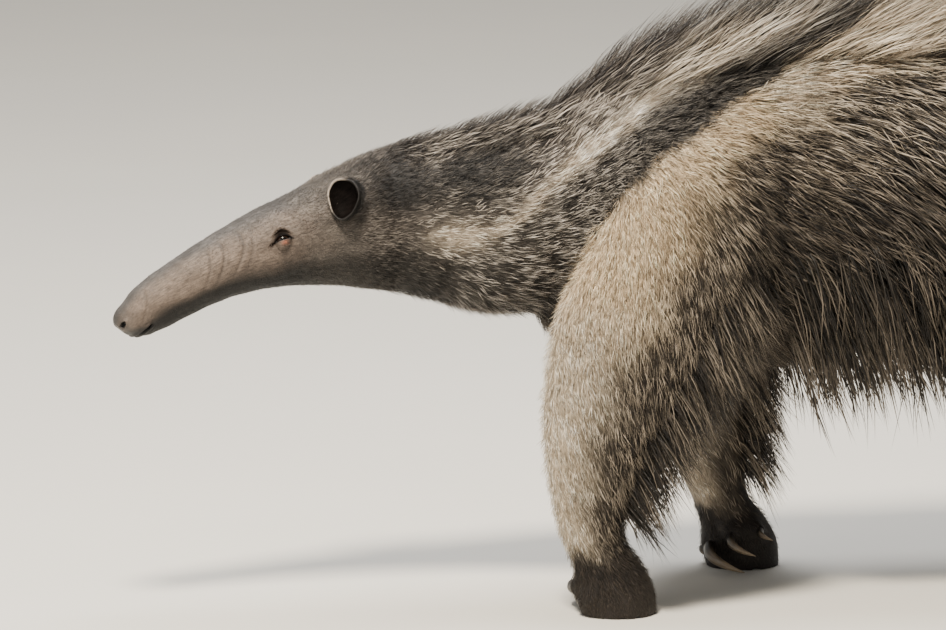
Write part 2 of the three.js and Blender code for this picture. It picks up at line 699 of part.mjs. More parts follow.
// The tail's plume: hair that rises over it, and long hair that lies along its sides and hangs under it.
const plumeReach = new Form(plumeRings);
const plumeRows = [
  { from: 905, to: 1490, spacing: 88, angle: 0.3, rise: 0.46, reach: "y", share: 0.55, width: 62 },
  { from: 912, to: 1480, spacing: 93, angle: 1.35, rise: -0.62, reach: "z", share: 0.75, width: 72 },
  { from: 920, to: 1500, spacing: 88, angle: 2.3, rise: -0.78, reach: "z", share: 0.72, width: 70 },
];
const plumeShortest = 100;
const plumeLocks = plumeRows.flatMap((row) =>
  [-1, 1].flatMap((turn) =>
    lockRow(plumeCore, { axis: "x", sink: 7, ...row, angle: turn * row.angle }, (skin, t) => {
      const reach = row.share * plumeReach.sizes.getPoint(t)[row.reach];
      const length = Math.max(reach / Math.abs(row.rise), plumeShortest) * draw(0.88, 1.06);
      const back = Math.sqrt(1 - row.rise ** 2);
      return {
        lie: skin.along.clone().multiplyScalar(back).addScaledVector(upward, row.rise),
        face: skin.sideways,
        lift: 0.14,
        length,
        width: row.width,
      };
    }),
  ),
);
const tipSpreads = [-0.36, -0.12, 0.12, 0.36];
for (const spread of tipSpreads) {
  const end = plumeCore.frame(0.985);
  plumeLocks.push({
    root: end.middle,
    lie: end.along.clone().addScaledVector(end.up, spread),
    face: end.side.clone().multiplyScalar(Math.sign(spread)),
    length: 122,
    width: 48,
    lift: 0.08,
    sag: 0.15,
  });
}
const plumeSolid = plumeCore.solid(12, 12).intersect(beyond(vec(tailCut, 0, 0), backward));
const plumeClear = locksClearOf(plumeLocks, nodesLike("torso", "hind"));
addNode("tail", largest(joined([plumeSolid, ...plumeClear])), "tailHair");

// The middle of the standing animal's box goes to the origin.
const box = new THREE.Box3().setFromObject(anteater);
const centre = box.getCenter(new THREE.Vector3());
anteater.position.set(-centre.x, -centre.y, 0);

export default anteater;
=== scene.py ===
import math
from contextlib import contextmanager
from functools import partial

import bmesh
import bpy
import numpy as np
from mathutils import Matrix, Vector, kdtree


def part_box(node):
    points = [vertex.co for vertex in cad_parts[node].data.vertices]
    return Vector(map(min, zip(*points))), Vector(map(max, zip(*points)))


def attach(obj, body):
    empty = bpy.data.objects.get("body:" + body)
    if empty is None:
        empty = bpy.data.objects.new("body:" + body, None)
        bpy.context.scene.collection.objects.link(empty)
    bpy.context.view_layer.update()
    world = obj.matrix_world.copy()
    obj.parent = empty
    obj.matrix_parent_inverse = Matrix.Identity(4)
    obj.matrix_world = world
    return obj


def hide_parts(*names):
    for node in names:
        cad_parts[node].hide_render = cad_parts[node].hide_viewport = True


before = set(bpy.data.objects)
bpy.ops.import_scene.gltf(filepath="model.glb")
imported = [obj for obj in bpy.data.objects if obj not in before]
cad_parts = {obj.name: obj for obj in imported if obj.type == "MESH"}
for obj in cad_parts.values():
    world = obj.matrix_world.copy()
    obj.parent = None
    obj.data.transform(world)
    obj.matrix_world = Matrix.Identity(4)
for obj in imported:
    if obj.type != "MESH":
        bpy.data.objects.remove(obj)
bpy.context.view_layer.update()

# A giant anteater walking with its head low, in millimetres until a mesh is made.
# The head points along -X, the animal's left side faces -Y and the soles stand at z = 0.
chance = np.random.default_rng(20)
upward = np.array([0.0, 0.0, 1.0])


def unit(vectors):
    return vectors / np.maximum(np.linalg.norm(vectors, axis=-1, keepdims=True), 1e-9)


def ramp(value, low, high):  # 0 up to low, 1 from high on, smooth between them
    share = np.clip((np.asarray(value, float) - low) / (high - low), 0, 1)
    return share * share * (3 - 2 * share)


def mix(first, second, share):
    share = np.asarray(share, float)
    return first * (1 - share[..., None]) + second * share[..., None]


def apart(points, *places):  # how far the points are from the nearest of the places
    return np.min([np.linalg.norm(points - place, axis=1) for place in places], axis=0)


def hexLinear(code):  # an sRGB hex colour as linear light
    values = np.array([int(code[i:i + 2], 16) / 255 for i in (1, 3, 5)])
    return np.where(values <= 0.04045, values / 12.92, ((values + 0.055) / 1.055) ** 2.4)


class Form:
    # A smooth body form through rings of x, y, z, half width, reach to the top side, reach to the underside.
    def __init__(self, rings, topSide=upward):
        self.rings = np.array(rings, float)
        self.last = len(rings) - 1
        first = 2 * self.rings[:1] - self.rings[1:2]
        final = 2 * self.rings[-1:] - self.rings[-2:-1]
        self.held = np.vstack([first, self.rings, final])
        t = np.linspace(0, 1, 60 * self.last + 1)
        step = 1e-4
        way = self.values(t + step)[:, :3] - self.values(t - step)[:, :3]
        speed = np.linalg.norm(way, axis=1, keepdims=True) / (2 * step)
        along = unit(way)
        up = unit(topSide - along * (along @ np.array(topSide, float))[:, None])
        self.table = np.hstack([self.values(t), along, up, np.cross(along, up), speed])

    def values(self, t):  # a Catmull-Rom curve through the rings
        place = np.clip(t, 0, 1) * self.last
        i = np.minimum(place.astype(int), self.last - 1)
        w = (place - i)[:, None]
        a, b, c, d = (self.held[i + k] for k in range(4))
        return 0.5 * (2 * b + (c - a) * w + (2 * a - 5 * b + 4 * c - d) * w**2 + (3 * b - a - 3 * c + d) * w**3)

    def frame(self, t):  # the ring's values and the ways along, up and to the side, at shares of the length
        place = np.clip(t, 0, 1) * (len(self.table) - 1)
        i = np.minimum(place.astype(int), len(self.table) - 2)
        w = (place - i)[:, None]
        row = self.table[i] * (1 - w) + self.table[i + 1] * w
        return row[:, :6], row[:, 6:9], row[:, 9:12], row[:, 12:15], row[:, 15]

    def point(self, t, angle, out=0.0):
        values, along, up, side, _ = self.frame(t)
        reach = np.where(np.cos(angle) > 0, values[:, 4], values[:, 5])
        across = (np.maximum(values[:, 3], 0.5) + out) * np.sin(angle)
        high = (np.maximum(reach, 0.5) + out) * np.cos(angle)
        return values[:, :3] + side * across[:, None] + up * high[:, None]

    def skin(self, t, angle):  # the surface, the way out of it, along it, and round it away from the top side
        turn = np.where(angle < 0, -1.0, 1.0)
        along = unit(self.point(t + 0.004, angle) - self.point(t - 0.004, angle))
        around = unit(self.point(t, angle + 0.05 * turn) - self.point(t, angle - 0.05 * turn))
        out = unit(np.cross(around, along) * turn[:, None])
        return self.point(t, angle), out, along, around

    def locate(self, points):  # share of the length, angle and height over the surface; far points get 999
        share, angle, over = np.zeros(len(points)), np.zeros(len(points)), np.full(len(points), 999.0)
        middles, room = self.table[:, :3], self.table[:, 3:6].max() + 50
        near = np.flatnonzero(((points > middles.min(0) - room) & (points < middles.max(0) + room)).all(1))
        every, atOnce = 6, 20000  # rows of the table from one station to the next, and points taken at a time
        stations = middles[::every].astype(np.float32)
        for start in range(0, len(near), atOnce):
            rows = near[start:start + atOnce]
            away = (stations**2).sum(1) - 2 * points[rows].astype(np.float32) @ stations.T
            t = away.argmin(1) * every / (len(middles) - 1)
            for _ in range(2):
                values, along, up, side, speed = self.frame(t)
                offset = points[rows] - values[:, :3]
                t = np.clip(t + (offset * along).sum(1) / speed, 0, 1)
            values, along, up, side, _ = self.frame(t)
            offset = points[rows] - values[:, :3]
            across, high = (offset * side).sum(1), (offset * up).sum(1)
            wide = np.maximum(values[:, 3], 0.5)
            tall = np.maximum(np.where(high > 0, values[:, 4], values[:, 5]), 0.5)
            turn = np.arctan2(across / wide, high / tall)
            radius = np.hypot(wide * np.sin(turn), tall * np.cos(turn))
            height = (np.hypot(across / wide, high / tall) - 1) * radius + np.abs((offset * along).sum(1))
            share[rows], angle[rows], over[rows] = t, turn, height
        return share, angle, over


# The same forms as the solids have.
headForm = Form([
    (-390, -65, 312, 8, 8, 8), (-385, -64, 317, 17, 17, 17), (-373, -62, 327, 21, 21, 27),
    (-356, -58, 339, 24, 26, 32), (-322, -52, 356, 28, 31, 33), (-277, -44, 376, 34, 37, 37),
    (-232, -36, 390, 42, 46, 43), (-187, -28, 401, 50, 54, 54), (-137, -20, 413, 56, 67, 72),
    (-92, -14, 418, 61, 80, 82), (-35, -7, 416, 70, 89, 93), (35, 0, 412, 86, 103, 106),
    (130, 0, 424, 78, 96, 96),
])
trunkForm = Form([
    (45, 0, 408, 40, 50, 84), (90, 0, 414, 84, 100, 148), (180, 0, 430, 112, 138, 164),
    (260, 0, 430, 126, 158, 178), (350, 0, 435, 134, 168, 172), (450, 0, 440, 143, 165, 166),
    (560, 0, 438, 150, 160, 160), (670, 0, 440, 143, 145, 148), (770, 0, 450, 120, 115, 115),
    (850, 0, 465, 76, 72, 70), (905, 0, 472, 36, 34, 34),
])
foreRings = [  # z, x in a square stance, share of the step, share of the track, half width, front, back
    (535, 288, 0, 0.48, 36, 52, 54), (480, 264, 0.02, 0.68, 48, 84, 80), (420, 240, 0.09, 0.82, 52, 102, 90),
    (345, 222, 0.3, 0.92, 54, 103, 88), (283, 212, 0.57, 0.96, 53, 103, 86), (212, 202, 0.8, 0.99, 49, 82, 72),
    (146, 198, 0.94, 1, 42, 58, 56), (100, 200, 1, 1, 36, 42, 41), (68, 207, 1, 1, 34, 35, 36),
    (38, 220, 1, 1, 38, 40, 42), (14, 228, 1, 1, 40, 44, 44), (-14, 230, 1, 1, 36, 40, 40),
]
hindRings = [
    (520, 775, 0, 0.5, 42, 62, 58), (450, 768, 0.04, 0.72, 56, 104, 84), (380, 748, 0.14, 0.88, 60, 106, 90),
    (310, 724, 0.4, 0.97, 56, 86, 82), (240, 730, 0.66, 1, 49, 65, 66), (170, 752, 0.87, 1, 41, 49, 50),
    (110, 768, 0.97, 1, 36, 41, 42), (72, 770, 1, 1, 35, 44, 38), (40, 752, 1, 1, 37, 68, 54),
    (14, 742, 1, 1, 39, 82, 64), (-14, 740, 1, 1, 35, 76, 60),
]


def legForm(rings, track, step, side):
    rows = [(x + side * step * swing, side * track * spread, z, w, f, b) for z, x, swing, spread, w, f, b in rings]
    return Form(rows, (-1, 0, 0))


plumeRings = [
    (868, 0, 470, 40, 42, 42), (940, 2, 462, 70, 100, 120), (1040, 8, 430, 84, 136, 210),
    (1160, 20, 394, 90, 146, 262), (1300, 34, 356, 84, 142, 250), (1430, 46, 320, 66, 124, 200),
    (1530, 54, 288, 40, 84, 124),
]
plumeReach = Form(plumeRings)
tailRadii = [46, 40, 33, 27, 21, 14, 6]  # the flesh under the plume
tailForm = Form([(x, y, z, r, r, r) for (x, y, z, *_), r in zip(plumeRings, tailRadii)])
forms = {
    "head": headForm,
    "trunk": trunkForm,
    "foreLeft": legForm(foreRings, 121, 88, -1),
    "foreRight": legForm(foreRings, 121, 88, 1),
    "hindLeft": legForm(hindRings, 119, -58, -1),
    "hindRight": legForm(hindRings, 119, -58, 1),
    "tail": tailForm,
}
names = list(forms)

# How the short coat grows, by the form's rings. Each row has its ring, the hair's length at the top or front and
# at the underside or back, a tuft's width, its lift off the skin and its turn away from the top or front.
growth = {
    "head": [(0, 2, 2, 0.3, 0.04, 0), (3, 3.5, 3.5, 0.36, 0.06, 0), (5.3, 4.5, 4.5, 0.42, 0.08, 0.05),
             (6.8, 6, 6, 0.5, 0.14, 0.1), (7.8, 8, 7.5, 0.55, 0.25, 0), (9, 14, 13, 0.7, 0.42, -0.1),
             (10, 19, 18, 0.8, 0.5, -0.15), (12, 25, 26, 0.9, 0.5, -0.2)],
    "trunk": [(0, 25, 25, 0.9, 0.5, -0.2), (2, 26, 38, 0.9, 0.5, 0), (3, 34, 56, 1.0, 0.42, 0.2),
              (4, 46, 76, 1.2, 0.36, 0.4), (7, 74, 112, 1.7, 0.28, 0.7), (10, 76, 90, 1.9, 0.26, 0.5)],
    "fore": [(0, 25, 34, 0.9, 0.5, 0.4), (2, 22, 34, 0.9, 0.5, 0.5), (4, 18, 40, 0.9, 0.42, 0.6),
             (6, 15, 36, 0.85, 0.36, 0.5), (7.4, 14, 22, 0.8, 0.34, 0.3), (8.3, 13, 16, 0.75, 0.3, 0.1),
             (9.2, 9, 10, 0.65, 0.25, 0), (10, 6, 7, 0.55, 0.2, 0), (11, 4, 4, 0.5, 0.15, 0)],
    "hind": [(0, 66, 80, 2.2, 0.3, 0.3), (3, 52, 80, 2.1, 0.28, 0.3), (5, 34, 56, 1.8, 0.3, 0.2),
             (6.6, 20, 28, 1.3, 0.3, 0.1), (7.8, 14, 16, 1.0, 0.3, 0), (9, 12, 13, 0.9, 0.28, 0),
             (10, 8, 8, 0.8, 0.2, 0)],
    "tail": [(0, 90, 90, 2.6, 0.4, 0.4), (6, 40, 40, 2.6, 0.4, 0.2)],
}
growth = {key: np.array(rows, float) for key, rows in growth.items()}
kindOf = {name: name.replace("Left", "").replace("Right", "") for name in names}


def grown(name, t, angle):  # length, width, lift and turn of the short coat at places on a form
    rows = growth[kindOf[name]]
    top, under, width, lift, turn = (np.interp(t * forms[name].last, rows[:, 0], rows[:, k]) for k in range(1, 6))
    return top + (under - top) * (1 - np.cos(angle)) / 2, width, lift, turn


def coatDepth(name, t, angle):  # how far the skin lies inside the solids
    return np.clip(0.36 * grown(name, t, angle)[0], 0.8, 16) if name != "tail" else np.zeros_like(t)


class Places:
    # Points of the body with their place on the form that carries them.
    def __init__(self, points):
        self.at = points
        found = [forms[name].locate(points) for name in names]
        self.share, self.angles = np.array([f[0] for f in found]), np.array([f[1] for f in found])
        self.over = np.array([f[2] + coatDepth(n, f[0], f[1]) for n, f in zip(names, found)])
        self.owner = self.over.argmin(0)
        self.weights = np.exp(-(self.over - self.over.min(0)) / 9)
        self.weights /= self.weights.sum(0)
        rows = np.arange(len(points))
        self.t, self.angle = self.share[self.owner, rows], self.angles[self.owner, rows]
        self.ring = self.t * np.array([forms[n].last for n in names])[self.owner]

    def on(self, *wanted):
        return np.isin(self.owner, [names.index(name) for name in wanted])

    def blended(self, valueOf):  # a value of each form at these places, mixed where forms meet
        total = 0
        for row, name in enumerate(names):
            value = valueOf(name, self.share[row], self.angles[row])
            weight = self.weights[row]
            total = total + value * (weight if value.ndim == 1 else weight[:, None])
        return total


def lieOf(name, t, angle):  # the way that the hair points along the skin
    at, out, along, around = forms[name].skin(t, angle)
    lie = unit(along + around * grown(name, t, angle)[3][:, None])
    if kindOf[name] in ("fore", "hind"):  # over the shoulder and the hip it still lies as on the trunk
        lie = mix(lie, np.array([0.7, 0, -0.7]), 1 - ramp(t * forms[name].last, 0.8, 3.2))
    return lie


# Irregular smooth values from -1 to 1, a few waves of one size in mm laid over each other.
waveCount, fullTurn = 9, 6.28
waveWays = unit(np.random.default_rng(7).normal(size=(waveCount, 3)))
waveShifts = np.random.default_rng(8).uniform(0, fullTurn, waveCount)


def waves(points, size):
    return np.sin(points @ waveWays.T * (fullTurn / size) + waveShifts).sum(1) / (waveCount / 2)


# The skin is one closed mesh over all forms of flesh.
print("skin")
skinSpec = {"sides": 64, "stepsARing": 14,  # how fine the forms are before they are joined
            "voxel": 6, "keptWhereHidden": 0.5, "sole": 0.3}  # mm, a share of the faces, and the soles' height in mm


def meshOf(name, points, faces):
    mesh = bpy.data.meshes.new(name)
    mesh.from_pydata([tuple(p) for p in points], [], faces)
    mesh.polygons.foreach_set("use_smooth", [True] * len(mesh.polygons))
    return mesh


def objectOf(name, mesh):
    piece = bpy.data.objects.new(name, mesh)
    bpy.context.scene.collection.objects.link(piece)
    return piece


def gridFaces(rings, sides):  # faces of rings of corners, closed by a fan at each end
    last = rings * sides + 1
    corner = lambda i, j: 1 + i * sides + j % sides
    faces = [(0, corner(0, j + 1), corner(0, j)) for j in range(sides)]
    faces += [(corner(i, j), corner(i, j + 1), corner(i + 1, j + 1), corner(i + 1, j))
              for i in range(rings - 1) for j in range(sides)]
    return faces + [(last, corner(rings - 1, j), corner(rings - 1, j + 1)) for j in range(sides)]


def loft(form, steps, sides, out):  # corners and faces of a closed form, moved out by what out says of each place
    t, angle = np.meshgrid(np.linspace(0, 1, steps + 1), np.arange(sides) * 2 * math.pi / sides, indexing="ij")
    t, angle = t.ravel(), angle.ravel()
    ring = form.point(t, angle, out(t, angle))
    caps = form.frame(np.array([0.0, 1.0]))[0][:, :3]
    return np.vstack([caps[:1], ring, caps[1:]]), gridFaces(steps + 1, sides)


def ball(middle, radii):
    steps, sides, cap = 12, 20, 0.12
    turns = np.arange(sides) * 2 * math.pi / sides
    polar, turn = np.meshgrid(np.linspace(cap, math.pi - cap, steps), turns, indexing="ij")
    ring = np.stack([np.sin(polar) * np.cos(turn), np.sin(polar) * np.sin(turn), -np.cos(polar)], -1).reshape(-1, 3)
    points = np.vstack([[(0, 0, -1)], ring, [(0, 0, 1)]]) * radii + middle
    return points, gridFaces(steps, sides)


foreDigits = [  # root, reach, claw root, claw length and claw width, for a foot with its inner side at +Y
    ((14, 33, 46), (11, 9, 10), (0, 7, -2), 25, 9), ((-16, 31, 40), (15, 13, 15), (-3, 10, -3), 50, 13),
    ((-34, 13, 28), (17, 18, 18), (-6, 14, -4), 70, 17), ((-28, -18, 20), (18, 15, 17), (-14, 4, -4), 23, 9),
]
# In mm; the outer toes stand back from the middle one.
hindToes = {"count": 5, "apart": 14.5, "ahead": 46, "back": 9, "height": 15, "reach": (30, 8.6, 14)}


def hindToe(foot, inward, i):  # the middle of a hind toe, counted from the inner side
    middle = (hindToes["count"] - 1) / 2
    back = hindToes["back"] * ((i - middle) / middle) ** 2
    across = inward * (i - middle) * hindToes["apart"]
    return np.array([foot[0] - hindToes["ahead"] + back, foot[1] - across, hindToes["height"]])


parts, feet = [], {}
for name in names:
    depth = lambda t, angle, name=name: -coatDepth(name, t, angle)
    parts.append(loft(forms[name], skinSpec["stepsARing"] * forms[name].last, skinSpec["sides"], depth))
for name in names:
    if kindOf[name] in ("fore", "hind"):
        form = forms[name]
        inward = 1 if name.endswith("Left") else -1
        foot = form.frame(np.array([(form.last - 1) / form.last]))[0][0, :3]
        feet[name] = (foot, inward)
        if kindOf[name] == "fore":
            for root, reach, *_ in foreDigits:
                parts.append(ball(foot * (1, 1, 0) + np.array(root) * (1, inward, 1), np.array(reach) - 1))
        else:
            for i in range(hindToes["count"]):
                parts.append(ball(hindToe(foot, inward, i), np.array(hindToes["reach"])))
points, faces = [], []
for partPoints, partFaces in parts:
    start = sum(len(p) for p in points)
    points.append(partPoints)
    faces += [tuple(start + i for i in face) for face in partFaces]
rough = objectOf("rough", meshOf("rough", np.vstack(points), faces))
remesh = rough.modifiers.new("remesh", "REMESH")
remesh.mode = "VOXEL"
remesh.voxel_size = skinSpec["voxel"]
remesh.use_smooth_shade = True


def evaluated(piece):
    return bpy.data.meshes.new_from_object(piece.evaluated_get(bpy.context.evaluated_depsgraph_get()))


def rowsOf(items, key, width, kind=float):  # a value of each of a mesh's corners, edges or faces
    values = np.empty(len(items) * width, kind)
    items.foreach_get(key, values)
    return values.reshape(-1, width)


def coords(mesh):
    return rowsOf(mesh.vertices, "co", 3)


def pairs(mesh):
    return rowsOf(mesh.edges, "vertices", 2, int)


@contextmanager
def edited(mesh):  # opens a mesh for editing and writes it back
    bm = bmesh.new()
    bm.from_mesh(mesh)
    yield bm
    bm.to_mesh(mesh)
    bm.free()


def relaxed(points, edges, rounds, weight=1.0):  # each corner moves half way to the middle of its neighbours
    count = np.bincount(edges.ravel(), minlength=len(points))[:, None]
    for _ in range(rounds):
        total = np.zeros_like(points)
        for axis in range(3):
            total[:, axis] += np.bincount(edges[:, 0], points[edges[:, 1], axis], len(points))
            total[:, axis] += np.bincount(edges[:, 1], points[edges[:, 0], axis], len(points))
        points = points + (total / np.maximum(count, 1) - points) * 0.5 * weight
    return points


skinMesh = evaluated(rough)
bpy.data.objects.remove(rough)
rough = objectOf("rough", skinMesh)  # what long hair hides is coarser
under = coords(skinMesh)
hidden = rough.vertex_groups.new(name="hidden")
hidden.add(np.flatnonzero((under[:, 0] > 10) & (under[:, 2] > 110)).tolist(), 1, "REPLACE")
leaner = rough.modifiers.new("leaner", "DECIMATE")
leaner.ratio = skinSpec["keptWhereHidden"]
leaner.vertex_group = "hidden"
leaner.use_collapse_triangulate = True
skinMesh = evaluated(rough)
bpy.data.objects.remove(rough)
points = relaxed(coords(skinMesh), pairs(skinMesh), 5)
skinMesh.vertices.foreach_set("co", points.ravel())
with edited(skinMesh) as bm:
    everything = bm.verts[:] + bm.edges[:] + bm.faces[:]
    floorCut = {"plane_co": (0, 0, skinSpec["sole"]), "plane_no": (0, 0, 1)}
    bmesh.ops.bisect_plane(bm, geom=everything, clear_inner=True, **floorCut)
    soles = bmesh.ops.holes_fill(bm, edges=[e for e in bm.edges if e.is_boundary], sides=0)["faces"]
    bmesh.ops.triangulate(bm, faces=soles)

# Where the parts of the face sit, by the head's rings and the angle from its top, in mm and radians.
eyeSpec = {"ring": 6.28, "angle": 1.27, "sunk": 4.5, "radius": 8.5, "lid": 1.4, "corner": 10,
           "upper": (5.2, 0.055), "lower": (0.4, 0.012)}  # height and bend of the two lids' edges
nostrilSpec = {"ring": 0.7, "angle": 1.15, "length": 4.6, "height": 2.7, "rim": 1.1, "depth": 5.5}
mouthSpec = {"ring": 1.2, "corner": 2.4, "drop": 15, "lip": 1.5, "depth": 3.4}
earSpec = {"ring": 7.78, "angle": {"left": 0.98, "right": 1.2}, "out": 9,  # the right ear is laid lower
           "width": 37, "height": 45, "depth": 13, "taper": 0.2, "sides": 44}


def headSite(ring, angle, turn):  # a place on the head, with the ways back along it, up across it and outward
    at, out, along, _ = (v[0] for v in headForm.skin(np.array([ring / headForm.last]), np.array([turn * angle])))
    return at, along, unit(np.cross(out, along)) * turn, out


eyes, ears, nostrils = {}, {}, {}
for place, turn in (("left", 1), ("right", -1)):
    at, along, up, out = headSite(eyeSpec["ring"], eyeSpec["angle"], turn)
    eyes[place] = (at - eyeSpec["sunk"] * out, along, up, out)
    nostrils[place] = headSite(nostrilSpec["ring"], nostrilSpec["angle"], turn)
    at, along, _, out = headSite(earSpec["ring"], earSpec["angle"][place], turn)
    facing = unit(out * (1, 1, 0.75) - 0.42 * along)
    up = unit(upward - facing * facing[2])
    across = np.cross(up, facing)
    ahead = unit(0.35 * up - across * np.sign(across[0]))  # towards the pale front edge
    ears[place] = (at + earSpec["out"] * out, across, up, facing, ahead)
low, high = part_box("eye_left")
shift = np.array((Vector(low) + Vector(high)) / 2) * 1000 - eyes["left"][0]  # from the forms' frame to the CAD's


def refine(points, reach, mesh):  # splits every edge that has an end within reach of one of the points
    with edited(mesh) as bm:
        near = apart(np.array([v.co for v in bm.verts]), *points) < reach
        edges = [e for e in bm.edges if near[e.verts[0].index] or near[e.verts[1].index]]
        bmesh.ops.subdivide_edges(bm, edges=edges, cuts=1, use_grid_fill=True)
        bmesh.ops.triangulate(bm, faces=[f for f in bm.faces if len(f.verts) > 4])


print("face")
headMiddles = list(headForm.values(np.linspace(0, 8.6, 12) / headForm.last)[:, :3])
mouthMiddles = list(headForm.values(np.linspace(0, 3.2, 6) / headForm.last)[:, :3])
eyeMiddles = [eye[0] for eye in eyes.values()]
footMiddles = [foot * (1, 1, 0) + (-14, 0, 30) for foot, _ in feet.values()]
for where, reach in ((headMiddles, 86), (footMiddles, 75), (headMiddles[:11], 82), (mouthMiddles, 34),
                     (eyeMiddles, 24), (eyeMiddles, 15)):
    refine(where, reach, skinMesh)

# The head is laid back on its form, where the coarse mesh has flattened it.
points, edges = coords(skinMesh), pairs(skinMesh)
share, angle, over = headForm.locate(points)
ringAt = share * headForm.last
onHead = (1 - ramp(ringAt, 8, 9.6)) * (over < 14)
target = headForm.point(share, angle, -coatDepth("head", share, angle))
points = mix(points, target, onHead * (share > 0.002))
points = relaxed(points, edges, 2, 0.6)
face = (ringAt < 9.5) & (over < 20)
_, outward, _, _ = headForm.skin(share, angle)

# Creases over the side of the snout: place along the body, width, depth and bend of each, in mm.
creases = ((-301, 2.4, 0.7, 7), (-287, 2.2, 0.9, 9), (-268, 2.6, 1.0, 11), (-253, 2.6, 0.5, 6),
           (-342, 3, 0.35, 3), (-367, 1.8, 0.5, 3))


def eachCrease(points, angle):  # how far the points are from each crease's line, its width, and its depth there
    side = ramp(np.abs(angle), 0.35, 0.7) * (1 - ramp(np.abs(angle), 1.5, 2.0))
    for place, width, depth, bend in creases:
        line = place + bend * np.sin(2.2 * (np.abs(angle) - 0.4)) + 2 * waves(points, 60)
        yield points[:, 0] - line, width, depth * side


relief = 0.35 * waves(points, 26) + 0.15 * waves(points, 9)
for away, width, depth in eachCrease(points, angle):
    relief -= depth * np.exp(-((away / width) ** 2))
cheekHollow = ramp(np.abs(angle), 1.4, 1.8) * (1 - ramp(np.abs(angle), 2.2, 2.6))
relief -= 1.6 * np.exp(-(((points[:, 0] + 185) / 30) ** 2)) * cheekHollow
points += outward * (relief * face * onHead)[:, None]


def nostrilReach(points, at, along, up):  # 1 on the edge of a comma-shaped nostril
    a, b = (points - at) @ along, (points - at) @ up
    return np.hypot((a + 0.05 * b * b) / nostrilSpec["length"], b / nostrilSpec["height"])


# Nostrils: a hollow each, with a raised rim.
for at, along, up, out in nostrils.values():
    reach = nostrilReach(points, at, along, up)
    near = (np.abs((points - at) @ out) < 12) & (reach < 3)
    rim = nostrilSpec["rim"] * np.exp(-(((reach - 1.35) / 0.4) ** 2))
    points += out * (near * (rim - nostrilSpec["depth"] * (1 - ramp(reach, 0.35, 1.15))))[:, None]

# The mouth: a closed slit round the tip between two soft lips.
mouthFrame = [v[0] for v in headForm.frame(np.array([mouthSpec["ring"] / headForm.last]))]
mouthAt, mouthUp = mouthFrame[0][:3] - mouthFrame[2] * mouthSpec["drop"], mouthFrame[2]
above = (points - mouthAt) @ mouthUp
inMouth = 1 - ramp(ringAt, mouthSpec["corner"] - 0.25, mouthSpec["corner"])
inMouth *= (np.abs(angle) > 1.2) * (np.abs(above) < 12) * face
lips = mouthSpec["lip"] * np.exp(-(((np.abs(above) - 2.3) / 1.4) ** 2))
lips -= mouthSpec["depth"] * np.exp(-((above / 0.85) ** 2))
points += outward * (lips * inMouth)[:, None]


# The eyes: lids drawn over the ball with an almond opening, a fold above and a soft bag below.
def eyeShape(points, at, along, up, out):
    # places round an eye: back, up and out of its middle, distance outside the opening, height over the upper lid
    offset = points - at
    a, b, o = offset @ along, offset @ up, offset @ out
    upper, lower = (height - bend * a * a for height, bend in (eyeSpec["upper"], eyeSpec["lower"]))
    corner = eyeSpec["corner"]
    outside = np.hypot(np.abs(a) - corner, b + 0.4)
    signed = np.where(np.abs(a) < corner, np.maximum(b - upper, lower - b), outside)
    return a, b, o, signed, b - upper


for at, along, up, out in eyes.values():
    a, b, o, signed, over = eyeShape(points, at, along, up, out)
    r = np.hypot(a, b)
    near = (r < 30) & (o > -14)
    lidReach, soft = 9.8, 0.8
    lid = np.sqrt(np.maximum((eyeSpec["radius"] + eyeSpec["lid"]) ** 2 - np.minimum(r, lidReach) ** 2, 0))
    height = np.maximum(o, 0) + np.log1p(np.exp((lid - np.maximum(o, 0) - 0.3) / soft)) * soft
    lifted = np.where(r < lidReach, height, o)
    fold = -2.8 * np.exp(-(((over - 4.2) / 2.0) ** 2)) * np.exp(-(((a - 1) / 9) ** 4))
    fold += 1.8 * np.exp(-(((over - 9.5) / 3.0) ** 2)) * np.exp(-((a / 10) ** 2))
    fold += -0.9 * np.exp(-(((b + 5.6 - 0.03 * a * a) / 1.0) ** 2)) * (np.abs(a) < 8)
    fold += -2.2 * np.exp(-(((a + 12.5) / 3) ** 2 + ((b + 1.2 - 0.35 * (a + 12.5)) / 1.5) ** 2))
    rim = 0.6 * np.exp(-(((signed - 0.8) / 0.7) ** 2))
    sunk = np.where(signed < 0, -np.clip(-signed / 0.5, 0, 1) * (lifted - (eyeSpec["radius"] - 3.5)), 0)
    points += out * (near * (lifted - o + fold + rim + sunk))[:, None]
skinMesh.vertices.foreach_set("co", points.ravel())

